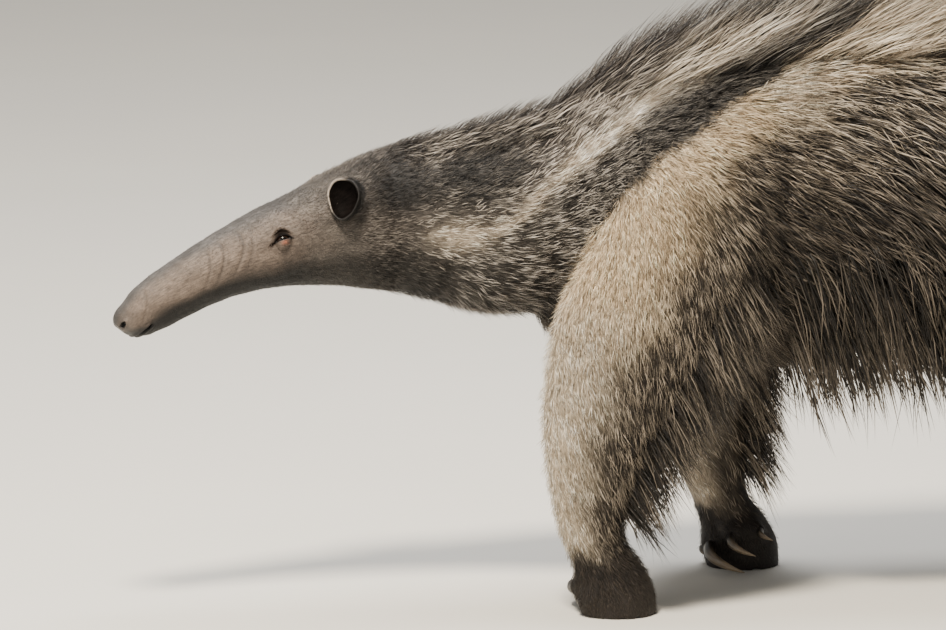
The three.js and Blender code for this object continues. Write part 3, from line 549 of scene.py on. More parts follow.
# The ears: cups with a rolled rim, joined to the head. A corner's part is 1 outside, 2 on the rim, 3 inside.
earParts, earTree, earPartOf = [], kdtree.KDTree(4000), []
cup = [(high, math.sqrt(max(1 - (high / earSpec["depth"]) ** 2, 0.002)), 1) for high in np.linspace(-12.5, 3.0, 14)]
cup += [(4.2, 1.0, 2), (5.2, 1.0, 2), (5.5, 0.96, 2), (4.9, 0.92, 2)]  # height, share of the width, part
cup += [(high, math.sqrt(max(1 - ((high - 5) / 12) ** 2, 0.002)) * 0.9, 3) for high in np.linspace(4.0, -6.5, 14)]
for at, across, up, facing, _ in ears.values():
    ring = []
    for high, wide, part in cup:
        for turn in np.arange(earSpec["sides"]) * 2 * math.pi / earSpec["sides"]:
            roll = 1 + 0.03 * math.sin(turn + 0.6) + 0.02 * math.sin(3 * turn + 1) + 0.012 * math.sin(7 * turn)
            oval = wide * roll * (1 + earSpec["taper"] * wide * math.sin(turn))
            back = 1 if across[0] > 0 else -1  # the cup's rear edge stands further out than its front edge
            tilt = 2.4 * wide * math.cos(turn) * back * (high > 0) * min(high / 4, 1)
            ring.append(at + across * (earSpec["width"] / 2) * oval * math.cos(turn)
                        + up * (earSpec["height"] / 2) * wide * roll * math.sin(turn) + facing * (high + tilt))
            earTree.insert(Vector(ring[-1]), len(earPartOf))
            earPartOf.append(part)
    caps = [at + facing * -12.9, at + facing * -7]
    earTree.insert(Vector(caps[1]), len(earPartOf))
    earPartOf.append(3)
    earFaces = gridFaces(len(cup), earSpec["sides"])
    earParts.append(objectOf("ear", meshOf("ear", np.vstack([caps[:1], ring, caps[1:]]), earFaces)))
earTree.balance()
skin = objectOf("hide", skinMesh)
for ear in earParts:
    union = skin.modifiers.new("union", "BOOLEAN")
    union.operation = "UNION"
    union.solver = "EXACT"
    union.object = ear
joinedMesh = evaluated(skin)
skin.modifiers.clear()
skin.data = joinedMesh
for ear in earParts:
    bpy.data.objects.remove(ear)
with edited(joinedMesh) as bm:
    bmesh.ops.triangulate(bm, faces=bm.faces[:])
points, edges = coords(joinedMesh), pairs(joinedMesh)
share, angle, over = headForm.locate(points)
earMiddles = [ear[0] for ear in ears.values()]
earSeam = (apart(points, *earMiddles) < 34) & (np.abs(over + coatDepth("head", share, angle)) < 2.2)
points = relaxed(points, edges, 3, earSeam[:, None] * 1.0)
joinedMesh.vertices.foreach_set("co", points.ravel())
joinedMesh.polygons.foreach_set("use_smooth", [True] * len(joinedMesh.polygons))
print("skin corners", len(points))

# Colours of hide and hair. A coat's ink is its colour near the root, and its Tip is that of the pale hairs' ends.
# Some inks stand partly for light: the snout's top for a painted sky reflection, its underside, the lids and the
# ears' insides for painted shade, the lower lids' pink for a painted highlight, and the black band's pale tips for a
# painted sheen.
ink = {name: hexLinear(code) for name, code in {
    "snout": "#63574e", "snoutTopGreyAndReflection": "#4c4947", "snoutDarkAndShade": "#0b0908", "lidPinkHighlight": "#8f5540", "lidDarkAndShade": "#0c0908",
    "cheek": "#26211e", "cheekTip": "#a0978d", "earDark": "#0f0d0c", "earInsideAndShade": "#0d0a09", "earRim": "#968b80",
    "neck": "#1b1512", "neckTip": "#ddd2c4", "crest": "#0f0d0b", "stripe": "#a39583", "stripeTip": "#f8f0e0",
    "black": "#100d0b", "blackTip": "#a39c93", "cream": "#ab9c86", "creamTip": "#fbf2e1",
    "tan": "#b9a487", "tanTip": "#f6e4c4", "grizzle": "#1a1512", "grizzleTip": "#b9ab98",
    "umber": "#0e0b09", "umberTip": "#776d61", "flank": "#15110f", "flankTip": "#a2988b",
    "foot": "#15110f", "footTip": "#4d443b", "hind": "#14100e", "hindTip": "#7b6f62",
    "plume": "#1c1612", "plumeTip": "#a08f7c", "plumeUnder": "#120e0c", "plumeUnderTip": "#665445",
}.items()}
# The two border lines on the animal's side, by place along the body and height, in mm.
paleLine = np.array([(-60, 400), (-46, 404), (-14, 401), (18, 409), (68, 451), (127, 499), (195, 550), (263, 578),
                     (352, 604), (402, 618), (458, 632), (505, 646)], float)
tanLine = np.array([(60, 310), (88, 358), (110, 396), (133, 430), (158, 462), (190, 491), (218, 510), (253, 535),
                    (290, 557), (318, 571), (346, 582), (401, 600), (458, 612), (504, 632)], float)


def markings(places):  # the hair's colour near its root and at its tip
    p, ring, angle = places.at, places.ring, np.abs(places.angle)
    x, z = p[:, 0], p[:, 2]
    ragged = 5 * waves(p, 40) + 3 * waves(p, 13)
    root, tip = np.ones((len(p), 1)) * ink["neck"], np.ones((len(p), 1)) * ink["neckTip"]

    def lay(colours, share, onRoot=1, onTip=1):  # an ink by its name, or a colour for the root and one for the tip
        nonlocal root, tip
        dark, pale = (ink[colours], ink[colours + "Tip"]) if isinstance(colours, str) else colours
        root, tip = mix(root, dark, share * onRoot), mix(tip, pale, share * onTip)

    paleZ, tanZ = (np.interp(x, *line.T) for line in (paleLine, tanLine))
    onHead, onTrunk, onTail = places.on("head"), places.on("trunk"), places.on("tail")
    onFore, onHind = places.on("foreLeft", "foreRight"), places.on("hindLeft", "hindRight")
    overTan = ramp(z - tanZ - ragged, -4, 6) * ramp(x, 92, 112)  # above the foreleg's pale edge
    fore, body = onFore * (1 - overTan), np.maximum(onHead | onTrunk, onFore * overTan)

    # The back and flanks turn from grizzled grey-brown to dark brown further down and back.
    lay("flank", ramp(x, 60, 320) * body)
    lay("umber", ramp(x, 260, 380) * (1 - ramp(z + ragged * 3, 330, 520)) * body)

    # The black band under the pale line, then the shoulder with its tan edge.
    under, edge = paleZ - z + ragged, tanZ - z + 2 * ragged  # how far under the two lines, in mm
    band = ramp(under, -3, 5) * ramp(x, -52, -30) * (1 - ramp(x, 470, 540)) * body
    lay("black", band)
    # The black band's pale tip colour stands partly for a painted sheen; here the tips are made paler at the band's
    # front and darker further back.
    tip = tip * (1 + band * (0.6 - 1.2 * ramp(x, 60, 240)))[:, None]
    shoulder = ramp(tanZ - z + ragged, -4, 6) * ramp(x, 84, 100) * body * (1 - ramp(x, 500, 580))
    tanEdge = 1 - ramp(edge, 16, 80 - 0.08 * x)
    lay("umber", shoulder)
    lay("grizzle", shoulder * (1 - ramp(edge, 90, 150)))
    lay("tan", shoulder * tanEdge)
    lay("stripe", shoulder * tanEdge * 0.6 * ramp(x, 220, 320))

    # The pale line, with a tuft where it starts.
    stripeHalf = np.interp(x, [-60, 60, 200, 330, 500], [8, 8, 13, 20, 26])
    stripe = np.exp(-(((under + 2) / np.where(under > -2, 7, stripeHalf)) ** 2))
    stripe *= ramp(x, -70, -50) * (1 - ramp(x, 440, 560)) * body
    tuft = np.exp(-(((x + 26) / 26) ** 2 + ((z - 404) / 13) ** 2)) * body
    lay("stripe", np.clip(np.maximum(stripe, tuft) * 1.2, 0, 1) * (1 - 0.35 * ramp(x, 260, 380)))

    # The head: smooth grey-brown snout; grey on top, partly a painted sky reflection; dark below, partly painted
    # shade; speckled cheeks, black behind the ears.
    # The top's grey tint stands partly for a painted reflection of the sky.
    snout = mix(ink["snout"], ink["snoutTopGreyAndReflection"], 1 - ramp(angle + 0.1 * waves(p, 50), 0.3, 0.9))
    # The underside's ink is the hide's own dark colour, deepened into painted shade.
    snout = mix(snout, ink["snoutDarkAndShade"], ramp(angle + 0.12 * waves(p, 40), 1.5, 2.15))
    rear = ramp(ring + 0.3 * waves(p, 30), 6.4, 8.0)
    patches = 1 + 0.16 * waves(p, 21) + 0.12 * waves(p, 8) - 0.3 * ramp(ring + 0.3 * waves(p, 35), 5.2, 7)
    cheekRoot = mix(snout * 0.75, ink["cheek"], rear * 0.8)
    cheekTip = mix(snout * 1.15, ink["cheekTip"], rear * (1 - ramp(angle, 1.75, 2.3)))
    lay((cheekRoot * patches[:, None], cheekTip * patches[:, None]), onHead * (1 - ramp(x, -90, -40)))
    behindEar = np.exp(-((((x + 88) / 38) ** 2 + ((z - 458) / 30) ** 2) ** 2)) * onHead
    lay((ink["earDark"], ink["earDark"] * 2.2), behindEar, 1, 0.9)
    throat = onHead * ramp(x, -210, -130) * (1 - ramp(x, -45, -20)) * ramp(angle, 1.85, 2.35)
    lay((ink["black"], ink["blackTip"] * 0.35), throat)
    off = ((x + 2) / 60) ** 2 + ((z - 468 - 0.25 * x) / 29) ** 2 + 0.4 * waves(p, 28)
    blotch = np.exp(-(np.maximum(off, 0) ** 2)) * body  # the dark patch on the neck
    lay((ink["crest"] * 0.7, ink["crest"] * 2.5), blotch, 0.9, 0.85)
    for at, *_, ahead in ears.values():
        cup = ramp(places.over[0], 2.5, 4.5) * (apart(p, at) < 34)
        lay((ink["earDark"], mix(ink["earDark"] * 2, ink["earRim"], ramp((p - at) @ ahead, 4, 14))), cup)
    crest = (onHead | onTrunk) * (1 - ramp(angle, 0.1, 0.3)) * ramp(x, -110, -60) * (1 - ramp(x, 300, 600))
    lay((ink["neck"], ink["crest"] * 1.4), crest, 1, 0.8)

    # Forelegs: pale in front, grizzled on the side, dark behind and at the wrist.
    lay("grizzle", fore)
    upper = np.maximum(tanEdge * ramp(x, 80, 100), 1 - ramp(angle + 0.1 * waves(p, 70), 0.9, 1.8))
    lay("tan", fore * upper * ramp(z, 260, 330))
    lay("cream", fore * (1 - ramp(angle + 0.15 * waves(p, 60), 0.75, 1.7)) * (1 - ramp(z, 290, 380)))
    lay("umber", fore * ramp(angle + 0.15 * waves(p, 50), 1.9, 2.6))
    lay("umber", fore * ramp(x - 0.25 * (z - 300), 290, 350) * ramp(z, 200, 300))
    lay("foot", fore * (1 - ramp(z + 2 * ragged, 58, 92)))

    # Hind legs, tail and belly.
    lay("hind", onHind)
    lay("grizzle", onHind * 0.35 * ramp(z, 120, 260) * (1 - ramp(angle, 1.0, 1.9)))
    lay("foot", onHind * (1 - ramp(z + 2 * ragged, 55, 100)))
    lay("plume", onTail)
    lay("plumeUnder", onTail * ramp(angle, 1.4, 2.3))
    lay("umber", onTrunk * ramp(angle, 2.2, 2.6))
    return root, tip


# The hide's colour: the hair's own near the body, then marks of ears, lids, nostrils and creases, in this order. The
# ears' insides, the brows, the lids' inner corners, the nostrils, the mouth's slit and the creases get painted
# shade, and the lower lids a painted highlight.
print("hide colour")
points = coords(joinedMesh)
places = Places(points)
onHead, ringAt, turned = places.on("head"), places.ring, np.abs(places.angle)
root, tip = markings(places)
hideColour = mix(root * 0.85 + tip * 0.1, tip * 0.45 + root * 0.55, onHead * (1 - ramp(ringAt, 6.2, 8.2)))
earPart, earFront = np.zeros(len(points), int), np.zeros(len(points))
for k in np.flatnonzero(apart(points, *earMiddles) < 32):
    _, nearest, distance = earTree.find(Vector(points[k]))
    if distance < 1.6:
        earPart[k] = earPartOf[nearest]
for at, *_, ahead in ears.values():
    earFront += ramp((points - at) @ ahead, 2, 14) * (apart(points, at) < 40)
# The ears' insides are near black: their own dark skin, deepened into painted shade of the hollow.
marks = [(ink["earDark"], earPart == 1), (mix(ink["earDark"] * 1.5, ink["earRim"], earFront), earPart == 2),
         (ink["earInsideAndShade"], earPart == 3)]
eyeBare, dull = np.zeros(len(points)), np.zeros(len(points))
for eye in eyes.values():
    a, b, o, signed, over = eyeShape(points, *eye)
    near = (np.hypot(a, b) < 22) & (o > -4)
    # The dark brow and the dark inner corner are painted shade in the hollows round the eye. The lid margin is
    # partly the lid's own dark edge and partly painted shade of the upper lid's crease.
    browShade = np.exp(-((np.maximum(over, 0) / 8) ** 4) - ((a - 0.5 - 0.15 * over) / 9) ** 4) * (over > -1)
    corner = np.exp(-(((a + 12.5) / 3.6) ** 2 + ((b + 1.2 - 0.35 * (a + 12.5)) / 2) ** 2))
    # The pink on the lower lid is its pink skin and partly a painted highlight where the lid bulges into the light.
    pinkHighlight = np.exp(-(((a - 1.4) / 3.6) ** 2 + ((b + 2.6) / 2.4) ** 2))
    margin = np.exp(-((np.maximum(signed, 0) / np.where(over > 0, 2.6, 0.5)) ** 2))
    marks += [(ink["lidDarkAndShade"], near * np.clip(0.97 * browShade + 0.9 * corner, 0, 1)),
              (ink["lidPinkHighlight"], near * pinkHighlight * 0.85), (ink["lidDarkAndShade"], near * margin)]
    dull = np.maximum(dull, near * np.clip(2 * browShade + 2 * corner, 0, 1))
    bare = (1 - ramp(signed, 1.5, 3.5)) + ramp(browShade + corner, 0.45, 0.6)
    eyeBare = np.maximum(eyeBare, near * np.clip(bare, 0, 1))
# Painted shade: the nostrils' hollows are coloured near black.
for at, along, up, _ in nostrils.values():
    near = apart(points, at) < 12
    marks.append((ink["earDark"] * 0.4, near * (1 - ramp(nostrilReach(points, at, along, up), 0.8, 1.3))))
# Painted shade: a dark line along the mouth's slit.
slit = np.exp(-(((points - mouthAt) @ mouthUp / 1.2) ** 2))
slit *= (ringAt < mouthSpec["corner"]) * (turned > 1.2) * onHead
noseTip = onHead * (1 - ramp(ringAt + 0.2 * waves(points, 12), 0.9, 1.9))
marks += [(ink["earDark"] * 0.5, slit), (ink["snoutDarkAndShade"], noseTip * 0.55)]
# Painted shade along the snout's creases.
for away, _, depth in eachCrease(points, places.angle):
    marks.append((ink["snoutDarkAndShade"], 0.5 * depth * np.exp(-((away / 1.5) ** 2)) * onHead))
for colour, share in marks:
    hideColour = mix(hideColour, colour, share)


def addNode(tree, kind, inputs=(), **settings):  # a shader node; a node or socket among the inputs is linked
    node = tree.nodes.new("ShaderNode" + kind)
    for key, value in settings.items():
        setattr(node, key, value)
    for key, value in dict(inputs).items():
        if isinstance(value, bpy.types.Node):
            value = value.outputs[0]
        if isinstance(value, bpy.types.NodeSocket):
            tree.links.new(value, node.inputs[key])
        else:
            node.inputs[key].default_value = value
    return node


def material(name):  # an empty material, and what adds a node to it
    made = bpy.data.materials.new(name)
    made.use_nodes = True
    made.node_tree.nodes.clear()
    return made, partial(addNode, made.node_tree)


def rgba(code):
    return (*[float(c) for c in hexLinear(code)], 1.0)


def setStops(node, stops):  # places and colours of a colour ramp
    for place, _ in stops[1:-1]:
        node.color_ramp.elements.new(place)
    for element, (place, code) in zip(node.color_ramp.elements, stops):
        element.position, element.color = place, rgba(code)


# Hide: dull skin under a fine down that lies back. It gives the eye soft streaks, specks and pores.
hideLook = {"mottle": 70.0, "pores": 620.0,  # per metre: patches of 14 mm, and pores of 1.6 mm, coarser than real
            "streak": (10, 2),  # mm along and across, where the down's own hairs are 0.1 mm wide
            "roughness": (0.5, 0.72), "ior": 1.45, "relief": 0.0006}
hide, add = material("short haired hide")
tint = add("Attribute", attribute_name="tint")
combed = add("Attribute", attribute_name="combed").outputs["Vector"]
gloss = add("Attribute", attribute_name="gloss").outputs["Fac"]  # dry inside the ears, moist at the nose
spot = add("TexCoord").outputs["Object"]
downHair = add("TexNoise", {"Vector": combed, "Scale": 1.0, "Detail": 4.0, "Roughness": 0.7})
mottle = add("TexNoise", {"Vector": spot, "Scale": hideLook["mottle"], "Detail": 4.0})
pores = add("TexVoronoi", {"Vector": spot, "Scale": hideLook["pores"]})
hairShade = add("MapRange", {"Value": downHair, "From Min": 0.34, "From Max": 0.68, "To Min": 0.5, "To Max": 1.45})
spotShade = add("MapRange", {"Value": mottle, "From Min": 0.3, "From Max": 0.7, "To Min": 0.78, "To Max": 1.16})
shade = add("Math", {0: hairShade, 1: spotShade}, operation="MULTIPLY")
colour = add("VectorMath", {0: tint, "Scale": shade}, operation="SCALE")
smooth, dry = hideLook["roughness"]
rough = add("MapRange", {"Value": mottle, "To Min": smooth, "To Max": dry})
relief = add("Math", {0: downHair, 1: pores}, operation="ADD")
bump = add("Bump", {"Height": relief, "Strength": 0.5, "Distance": hideLook["relief"]})
shader = add("BsdfPrincipled", {"Base Color": colour, "Roughness": rough, "Normal": bump, "IOR": hideLook["ior"],
                                "Specular IOR Level": gloss})
add("OutputMaterial", {"Surface": shader})


def setAttribute(mesh, name, kind, values):
    attribute = mesh.attributes.new(name, kind, "POINT")
    key = {"FLOAT_COLOR": "color", "FLOAT_VECTOR": "vector", "FLOAT": "value"}[kind]
    attribute.data.foreach_set(key, np.ascontiguousarray(values, np.float32).ravel())


setAttribute(joinedMesh, "tint", "FLOAT_COLOR", np.hstack([np.clip(hideColour, 0, 1), np.ones((len(points), 1))]))
setAttribute(joinedMesh, "gloss", "FLOAT", np.where(earPart == 3, 0.03, (0.35 + 0.4 * noseTip) * (1 - 0.92 * dull)))
middleLines = [form.values(np.linspace(0, 1, 200))[:, :3] for form in forms.values()]
lengths = np.array([np.linalg.norm(np.diff(line, axis=0), axis=1).sum() for line in middleLines])[places.owner]
radii = np.array([form.rings[:, 3].mean() for form in forms.values()])[places.owner]
streakLong, streakWide = hideLook["streak"]
strands = [places.t * lengths / streakLong, turned * radii / streakWide, np.sign(places.angle) * 9]
setAttribute(joinedMesh, "combed", "FLOAT_VECTOR", np.stack(strands, 1))

# The coat. Tufts are thin closed blades that start in the skin and bend over along the lie.
normals, triangles = rowsOf(joinedMesh.vertices, "normal", 3), rowsOf(joinedMesh.polygons, "vertices", 3, int)
corners = points[triangles]
areas = np.linalg.norm(np.cross(corners[:, 1] - corners[:, 0], corners[:, 2] - corners[:, 0]), axis=1) / 2
middles = Places(corners.mean(1))
notBare = 1 - np.clip(eyeBare + (slit > 0.4) + (earPart > 1), 0, 1)[triangles].max(1)
notBare *= apart(middles.at, *[nostril[0] for nostril in nostrils.values()]) > 6
earFace = earPart[triangles].min(1) > 0


def seedRoots(count, wanted):  # roots spread over the skin's triangles by area and by how dense the coat is
    total = np.cumsum(areas * wanted * notBare)
    picks = (np.arange(count) + chance.uniform(0, 1, count)) / count * total[-1]
    which = np.minimum(np.searchsorted(total, picks), len(total) - 1)
    a, b = chance.uniform(0, 1, (2, count))
    a, b = np.where(a + b > 1, 1 - a, a), np.where(a + b > 1, 1 - b, b)
    share = np.stack([1 - a - b, a, b], 1)[..., None]
    return (points[triangles[which]] * share).sum(1), unit((normals[triangles[which]] * share).sum(1))


def clumped(roots, tips, size, pull):  # tips drawn together in locks of about this many tufts
    count = max(int(len(roots) / size), 1)
    centres = chance.choice(len(roots), count, replace=False)
    tree = kdtree.KDTree(count)
    for i, k in enumerate(centres):
        tree.insert(Vector(roots[k]), i)
    tree.balance()
    nearest = np.array([centres[tree.find(Vector(r))[1]] for r in roots])
    return tips + (tips[nearest] - tips) * pull, nearest


def paleness(lead, few, alike):  # most hairs are either dark or pale, often like their neighbours
    pale = chance.beta(few, 0.6, len(lead))
    return np.where(chance.uniform(0, 1, len(lead)) < alike, pale[lead], pale)


hairLook = {"spots": 240.0, "tone": (0.8, 1.2), "ior": 1.55, "shine": 0.3}  # spots per metre, so 4 mm each


def hairMaterial(name, roughness):  # each tuft is a little uneven in tone
    made, add = material(name)
    tint = add("Attribute", attribute_name="tint")
    spot = add("TexCoord").outputs["Object"]
    band = add("TexNoise", {"Vector": spot, "Scale": hairLook["spots"], "Detail": 2.0})
    dim, bright = hairLook["tone"]
    shade = add("MapRange", {"Value": band, "From Min": 0.3, "From Max": 0.7, "To Min": dim, "To Max": bright})
    colour = add("VectorMath", {0: tint, "Scale": shade}, operation="SCALE")
    rough = add("MapRange", {"Value": band, "To Min": roughness - 0.08, "To Max": roughness + 0.1})
    shader = add("BsdfPrincipled", {"Base Color": colour, "Roughness": rough, "IOR": hairLook["ior"],
                                    "Specular IOR Level": hairLook["shine"]})
    add("OutputMaterial", {"Surface": shader})
    return made


softHair = hairMaterial("short coat hair", 0.55)  # dull, so the mixed pale and dark hairs read as a grizzle
guardHair = hairMaterial("long guard hair", 0.45)  # coarse and a little glossier, so single locks catch the light


def growCoat(name, look, form, roots, out, first, tips, width, rings, colours):
    # blades along a curve from each root by its first point to its tip, pointed at both ends, three corners round
    count, last = len(roots), 3 * rings + 1
    s = np.linspace(0, 1, rings + 2)
    w = s[None, :, None]
    path = roots[:, None] * (1 - w) ** 2 + first[:, None] * 2 * w * (1 - w) + tips[:, None] * w**2
    lowest, wide, slack, ease = 1.0, 172, 12, 20  # mm; hair further out than wide bends in, to stay within the slack
    path[..., 2] = np.maximum(path[..., 2], lowest)
    past = np.maximum(np.abs(path[..., 1]) - wide, 0)
    path[..., 1] -= np.sign(path[..., 1]) * (past - slack * np.tanh(past / ease))
    heading = unit(path[:, 2:] - path[:, :-2])
    across = unit(np.cross(heading, out[:, None]))
    high = np.cross(across, heading)
    half = (width[:, None, None] / 2) * np.interp(s[1:-1], [0, 0.3, 0.7, 1], [1, 1, 0.7, 0.3])[None, :, None]
    body = path[:, 1:-1]
    corners = np.stack([body - across * half, body + across * half, body + high * half * 0.7], 2)
    blade = np.concatenate([path[:, :1], corners.reshape(count, rings * 3, 3), path[:, -1:]], 1)
    faces = [(0, 1 + j, 1 + (j + 1) % 3) for j in range(3)]
    faces += [(last, last - 3 + (j + 1) % 3, last - 3 + j) for j in range(3)]
    for k in range(rings - 1):
        for j in range(3):
            a, b = 3 * k + 1 + j, 3 * k + 1 + (j + 1) % 3
            faces += [(a, b + 3, b), (a, a + 3, b + 3)]
    index = (np.array(faces)[None] + (np.arange(count) * (last + 1))[:, None, None]).reshape(-1, 3)
    mesh = bpy.data.meshes.new(name)
    mesh.vertices.add(count * (last + 1))
    mesh.vertices.foreach_set("co", ((blade.reshape(-1, 3) + shift) / 1000).ravel())
    mesh.loops.add(len(index) * 3)
    mesh.loops.foreach_set("vertex_index", index.ravel())
    mesh.polygons.add(len(index))
    mesh.polygons.foreach_set("loop_start", np.arange(len(index)) * 3)
    mesh.polygons.foreach_set("use_smooth", np.ones(len(index), bool))
    mesh.update(calc_edges=True)
    stops = np.concatenate([[0.0], np.repeat(s[1:-1], 3), [1.0]])
    root, middle, tip = colours
    early = mix(root[:, None], middle[:, None], ramp(stops, 0.0, 0.5)[None].repeat(count, 0))
    tint = mix(early, tip[:, None], ramp(stops, 0.5, 0.95)[None].repeat(count, 0))
    tint = np.concatenate([np.clip(tint, 0, 1), np.ones((*tint.shape[:2], 1))], -1)
    setAttribute(mesh, "tint", "FLOAT_COLOR", tint.reshape(-1, 4))
    share, angle, _ = forms[form].locate(roots)  # the unwrap: along the form and round it
    patch = 0.003
    u = patch + (1 - 2 * patch) * (angle / (2 * math.pi) + 0.5)
    v = patch + (1 - 2 * patch) * share
    cornerU = np.concatenate([[0.0], np.tile([-0.5, 0.5, 0.0], rings), [0.0]]) * patch
    cornerV = (stops - 0.5) * patch
    uv = np.stack([u[:, None] + cornerU, v[:, None] + cornerV], -1).reshape(-1, 2)
    layer = mesh.uv_layers.new(name="OFBake")
    layer.data.foreach_set("uv", uv[index.ravel()].astype(np.float32).ravel())
    mesh.materials.append(look)
    piece = objectOf(name, mesh)
    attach(piece, "root")
    print(name, len(index), "triangles")


# Each coat has its slot, its tufts (a pair where the left side is denser than the right), the rings of corners in
# a tuft, how far the tips of a lock draw together, and how far short tufts stray or how wide long ones are, in mm.
coats = {
    "snout": {"slot": "snout_hide", "tufts": 14500, "pull": 0.1, "spread": 0.14},
    "head": {"slot": "head_coat", "tufts": 20000, "pull": 0.15, "spread": 0.16},
    "neck": {"slot": "neck_coat", "tufts": (30000, 7500)},
    "foreleg": {"slot": "foreleg_coat", "tufts": (29000, 8000)},
    "shoulder": {"slot": "body_coat", "tufts": (24000, 5500)},
    "flank": {"slot": "body_coat", "tufts": (11400, 4200), "rings": 2, "pull": 0.45},
    "hindleg": {"slot": "hindleg_coat", "tufts": (8400, 6600), "pull": 0.4},
    "mane": {"slot": "body_coat", "tufts": 10800, "width": 1.3, "pull": 0.3, "seen": 0.2},
    "fringe": {"slot": "body_coat", "tufts": 3400, "width": 2.0, "pull": 0.35},
    "feathering": {"slot": "foreleg_coat", "tufts": 1900, "width": 1.4, "pull": 0.3},
    "breeches": {"slot": "hindleg_coat", "tufts": 1700, "width": 2.2, "pull": 0.3},
    "tail": {"slot": "tail_hair", "tufts": 11000, "width": 2.2, "pull": 0.25, "lock": 8},
}
hangs = {"fringe": (150, 0.12, 0.38), "feathering": (88, 0.4, 0.3), "breeches": (112, 0.3, 0.3)}  # mm, out and back


def shortCoat(name, form, wanted, slot, tufts, rings=1, pull=0.35, spread=0.24):
    roots, out = seedRoots(tufts, wanted)
    here = Places(roots)
    sizes = []  # length, width and lift
    for row, low, high in ((0, 0.72, 1.12), (1, 0.75, 1.25), (2, 0.7, 1.3)):
        sizes.append(here.blended(lambda n, t, a: grown(n, t, a)[row]) * chance.uniform(low, high, tufts))
    length, width, lift = sizes
    lie = here.blended(lieOf)
    lie = unit(lie - out * (lie * out).sum(1, keepdims=True) + chance.normal(0, spread, (tufts, 3)))
    sag = np.clip((length - 40) / 120, 0, 0.5)[:, None] * -upward
    first = roots + unit(lie + out * (1.8 * lift)[:, None]) * (0.45 * length)[:, None]
    tips = roots + unit(lie + out * (0.9 * lift)[:, None] + sag) * length[:, None]
    tips, lead = clumped(roots, tips, 7, pull)
    root, tip = markings(here)
    pale = paleness(lead, 0.32, 0.55)
    furry = ramp(length, 4.5, 12)
    bare = 1 - furry  # down too short to show single hairs
    middle = mix(root, tip, pale * 0.6 * furry + 0.5 * bare)
    dim, bright = root * (0.8 + 0.15 * bare)[:, None], tip * (1.5 - 0.35 * bare)[:, None]
    tip = mix(dim, bright, pale * furry + (0.2 + 0.6 * pale) * bare)
    colours = (root * (0.35 + 0.5 * bare)[:, None], middle, tip)
    growCoat(name, softHair, form, roots - out * 1.5, out, first, tips, width, rings, colours)


def longCoat(name, form, wanted, aimed, slot, tufts, width, pull, rings=2, lock=9, seen=0.0):
    roots, out = seedRoots(tufts, wanted)
    here = Places(roots)
    first, tips = aimed(roots, out, here)
    tips, lead = clumped(roots, tips, lock, pull)
    root, tip = markings(Places(roots + (tips - roots) * seen) if seen else here)  # marked where the eye sees it
    pale = paleness(lead, 0.35, 0.5)
    widths = width * chance.uniform(0.6, 1.3, tufts)
    colours = (root * 0.45, mix(root, tip, pale * 0.5), mix(root, tip * 1.3, pale))
    growCoat(name, guardHair, form, roots - out * 3, out, first, tips, widths, rings, colours)


x, y, z = middles.at.T
wide = np.abs(middles.angle)
onHead, onTrunk = middles.on("head") * 1.0, middles.on("trunk") * 1.0
onSnout = (middles.ring < 6.7) & ~earFace
snoutPart = onHead * onSnout * np.interp(middles.ring, [0.9, 1.5, 3, 6, 6.7], [0, 1.2, 1.2, 1, 1])
headPart = onHead * (middles.ring < 8.8) * ~onSnout * ~earFace + 1.5 * earFace
neckPart = onHead * (middles.ring >= 8.8) * ~earFace + onTrunk * (x < 97)
shortCoat("coat_snout", "head", snoutPart, **coats["snout"])
shortCoat("coat_head", "head", headPart, **coats["head"])
for far, (side, turn) in enumerate((("Left", -1), ("Right", 1))):
    legs = {leg: middles.on(leg + side) * np.interp(z, [0, 60, 120, 250], dense)
            for leg, dense in (("fore", [1.7, 1.5, 1.1, 1.0]), ("hind", [3.5, 3.0, 1.8, 1.0]))}
    trunkSide = onTrunk * (y * turn >= 0) * (x >= 97)
    sideParts = {"neck": ("head", neckPart * (middles.angle * turn >= 0)), "foreleg": ("fore" + side, legs["fore"]),
                 "shoulder": ("trunk", trunkSide * (x < 340)), "flank": ("trunk", trunkSide * (x >= 340)),
                 "hindleg": ("hind" + side, legs["hind"])}  # the form that each unwraps along, and where it grows
    for part, (form, wanted) in sideParts.items():
        spec = coats[part] | {"tufts": coats[part]["tufts"][far]}
        shortCoat(f"coat_{part}_{side.lower()}", form, wanted, **spec)

maneRows = np.array([  # along the back: x, height of the flesh, reach of the hair over it
    (-96, 495, 6), (-35, 503, 18), (40, 514, 28), (100, 524, 36), (150, 548, 56), (180, 566, 66), (260, 587, 86),
    (350, 603, 98), (450, 605, 102), (560, 598, 106), (670, 585, 110), (770, 565, 110), (850, 537, 92),
    (940, 470, 70),
], float)


def maneAim(roots, out, here):  # up and back, lower towards both sides
    count = len(roots)
    edge = np.clip(np.abs(here.angle) / 0.42, 0, 1)
    hair = np.interp(roots[:, 0], maneRows[:, 0], maneRows[:, 2])
    ahead = (16 + 0.62 * hair) * chance.uniform(0.7, 1.25, count)
    x = roots[:, 0] + ahead
    stands = np.interp(x, maneRows[:, 0], maneRows[:, 2]) * (1 - 0.75 * edge**1.5)
    z = np.interp(x, maneRows[:, 0], maneRows[:, 1]) + stands * chance.uniform(0.45, 1.0, count) - 14 * edge
    lean = -np.sign(here.angle) * edge * (8 + 0.3 * hair) + chance.normal(0, 3 + 0.05 * hair, count)
    rise = np.maximum(z - roots[:, 2], 5)
    return roots + np.stack([0.3 * ahead, 0.6 * lean, 0.62 * rise + 3], 1), np.stack([x, roots[:, 1] + lean, z], 1)


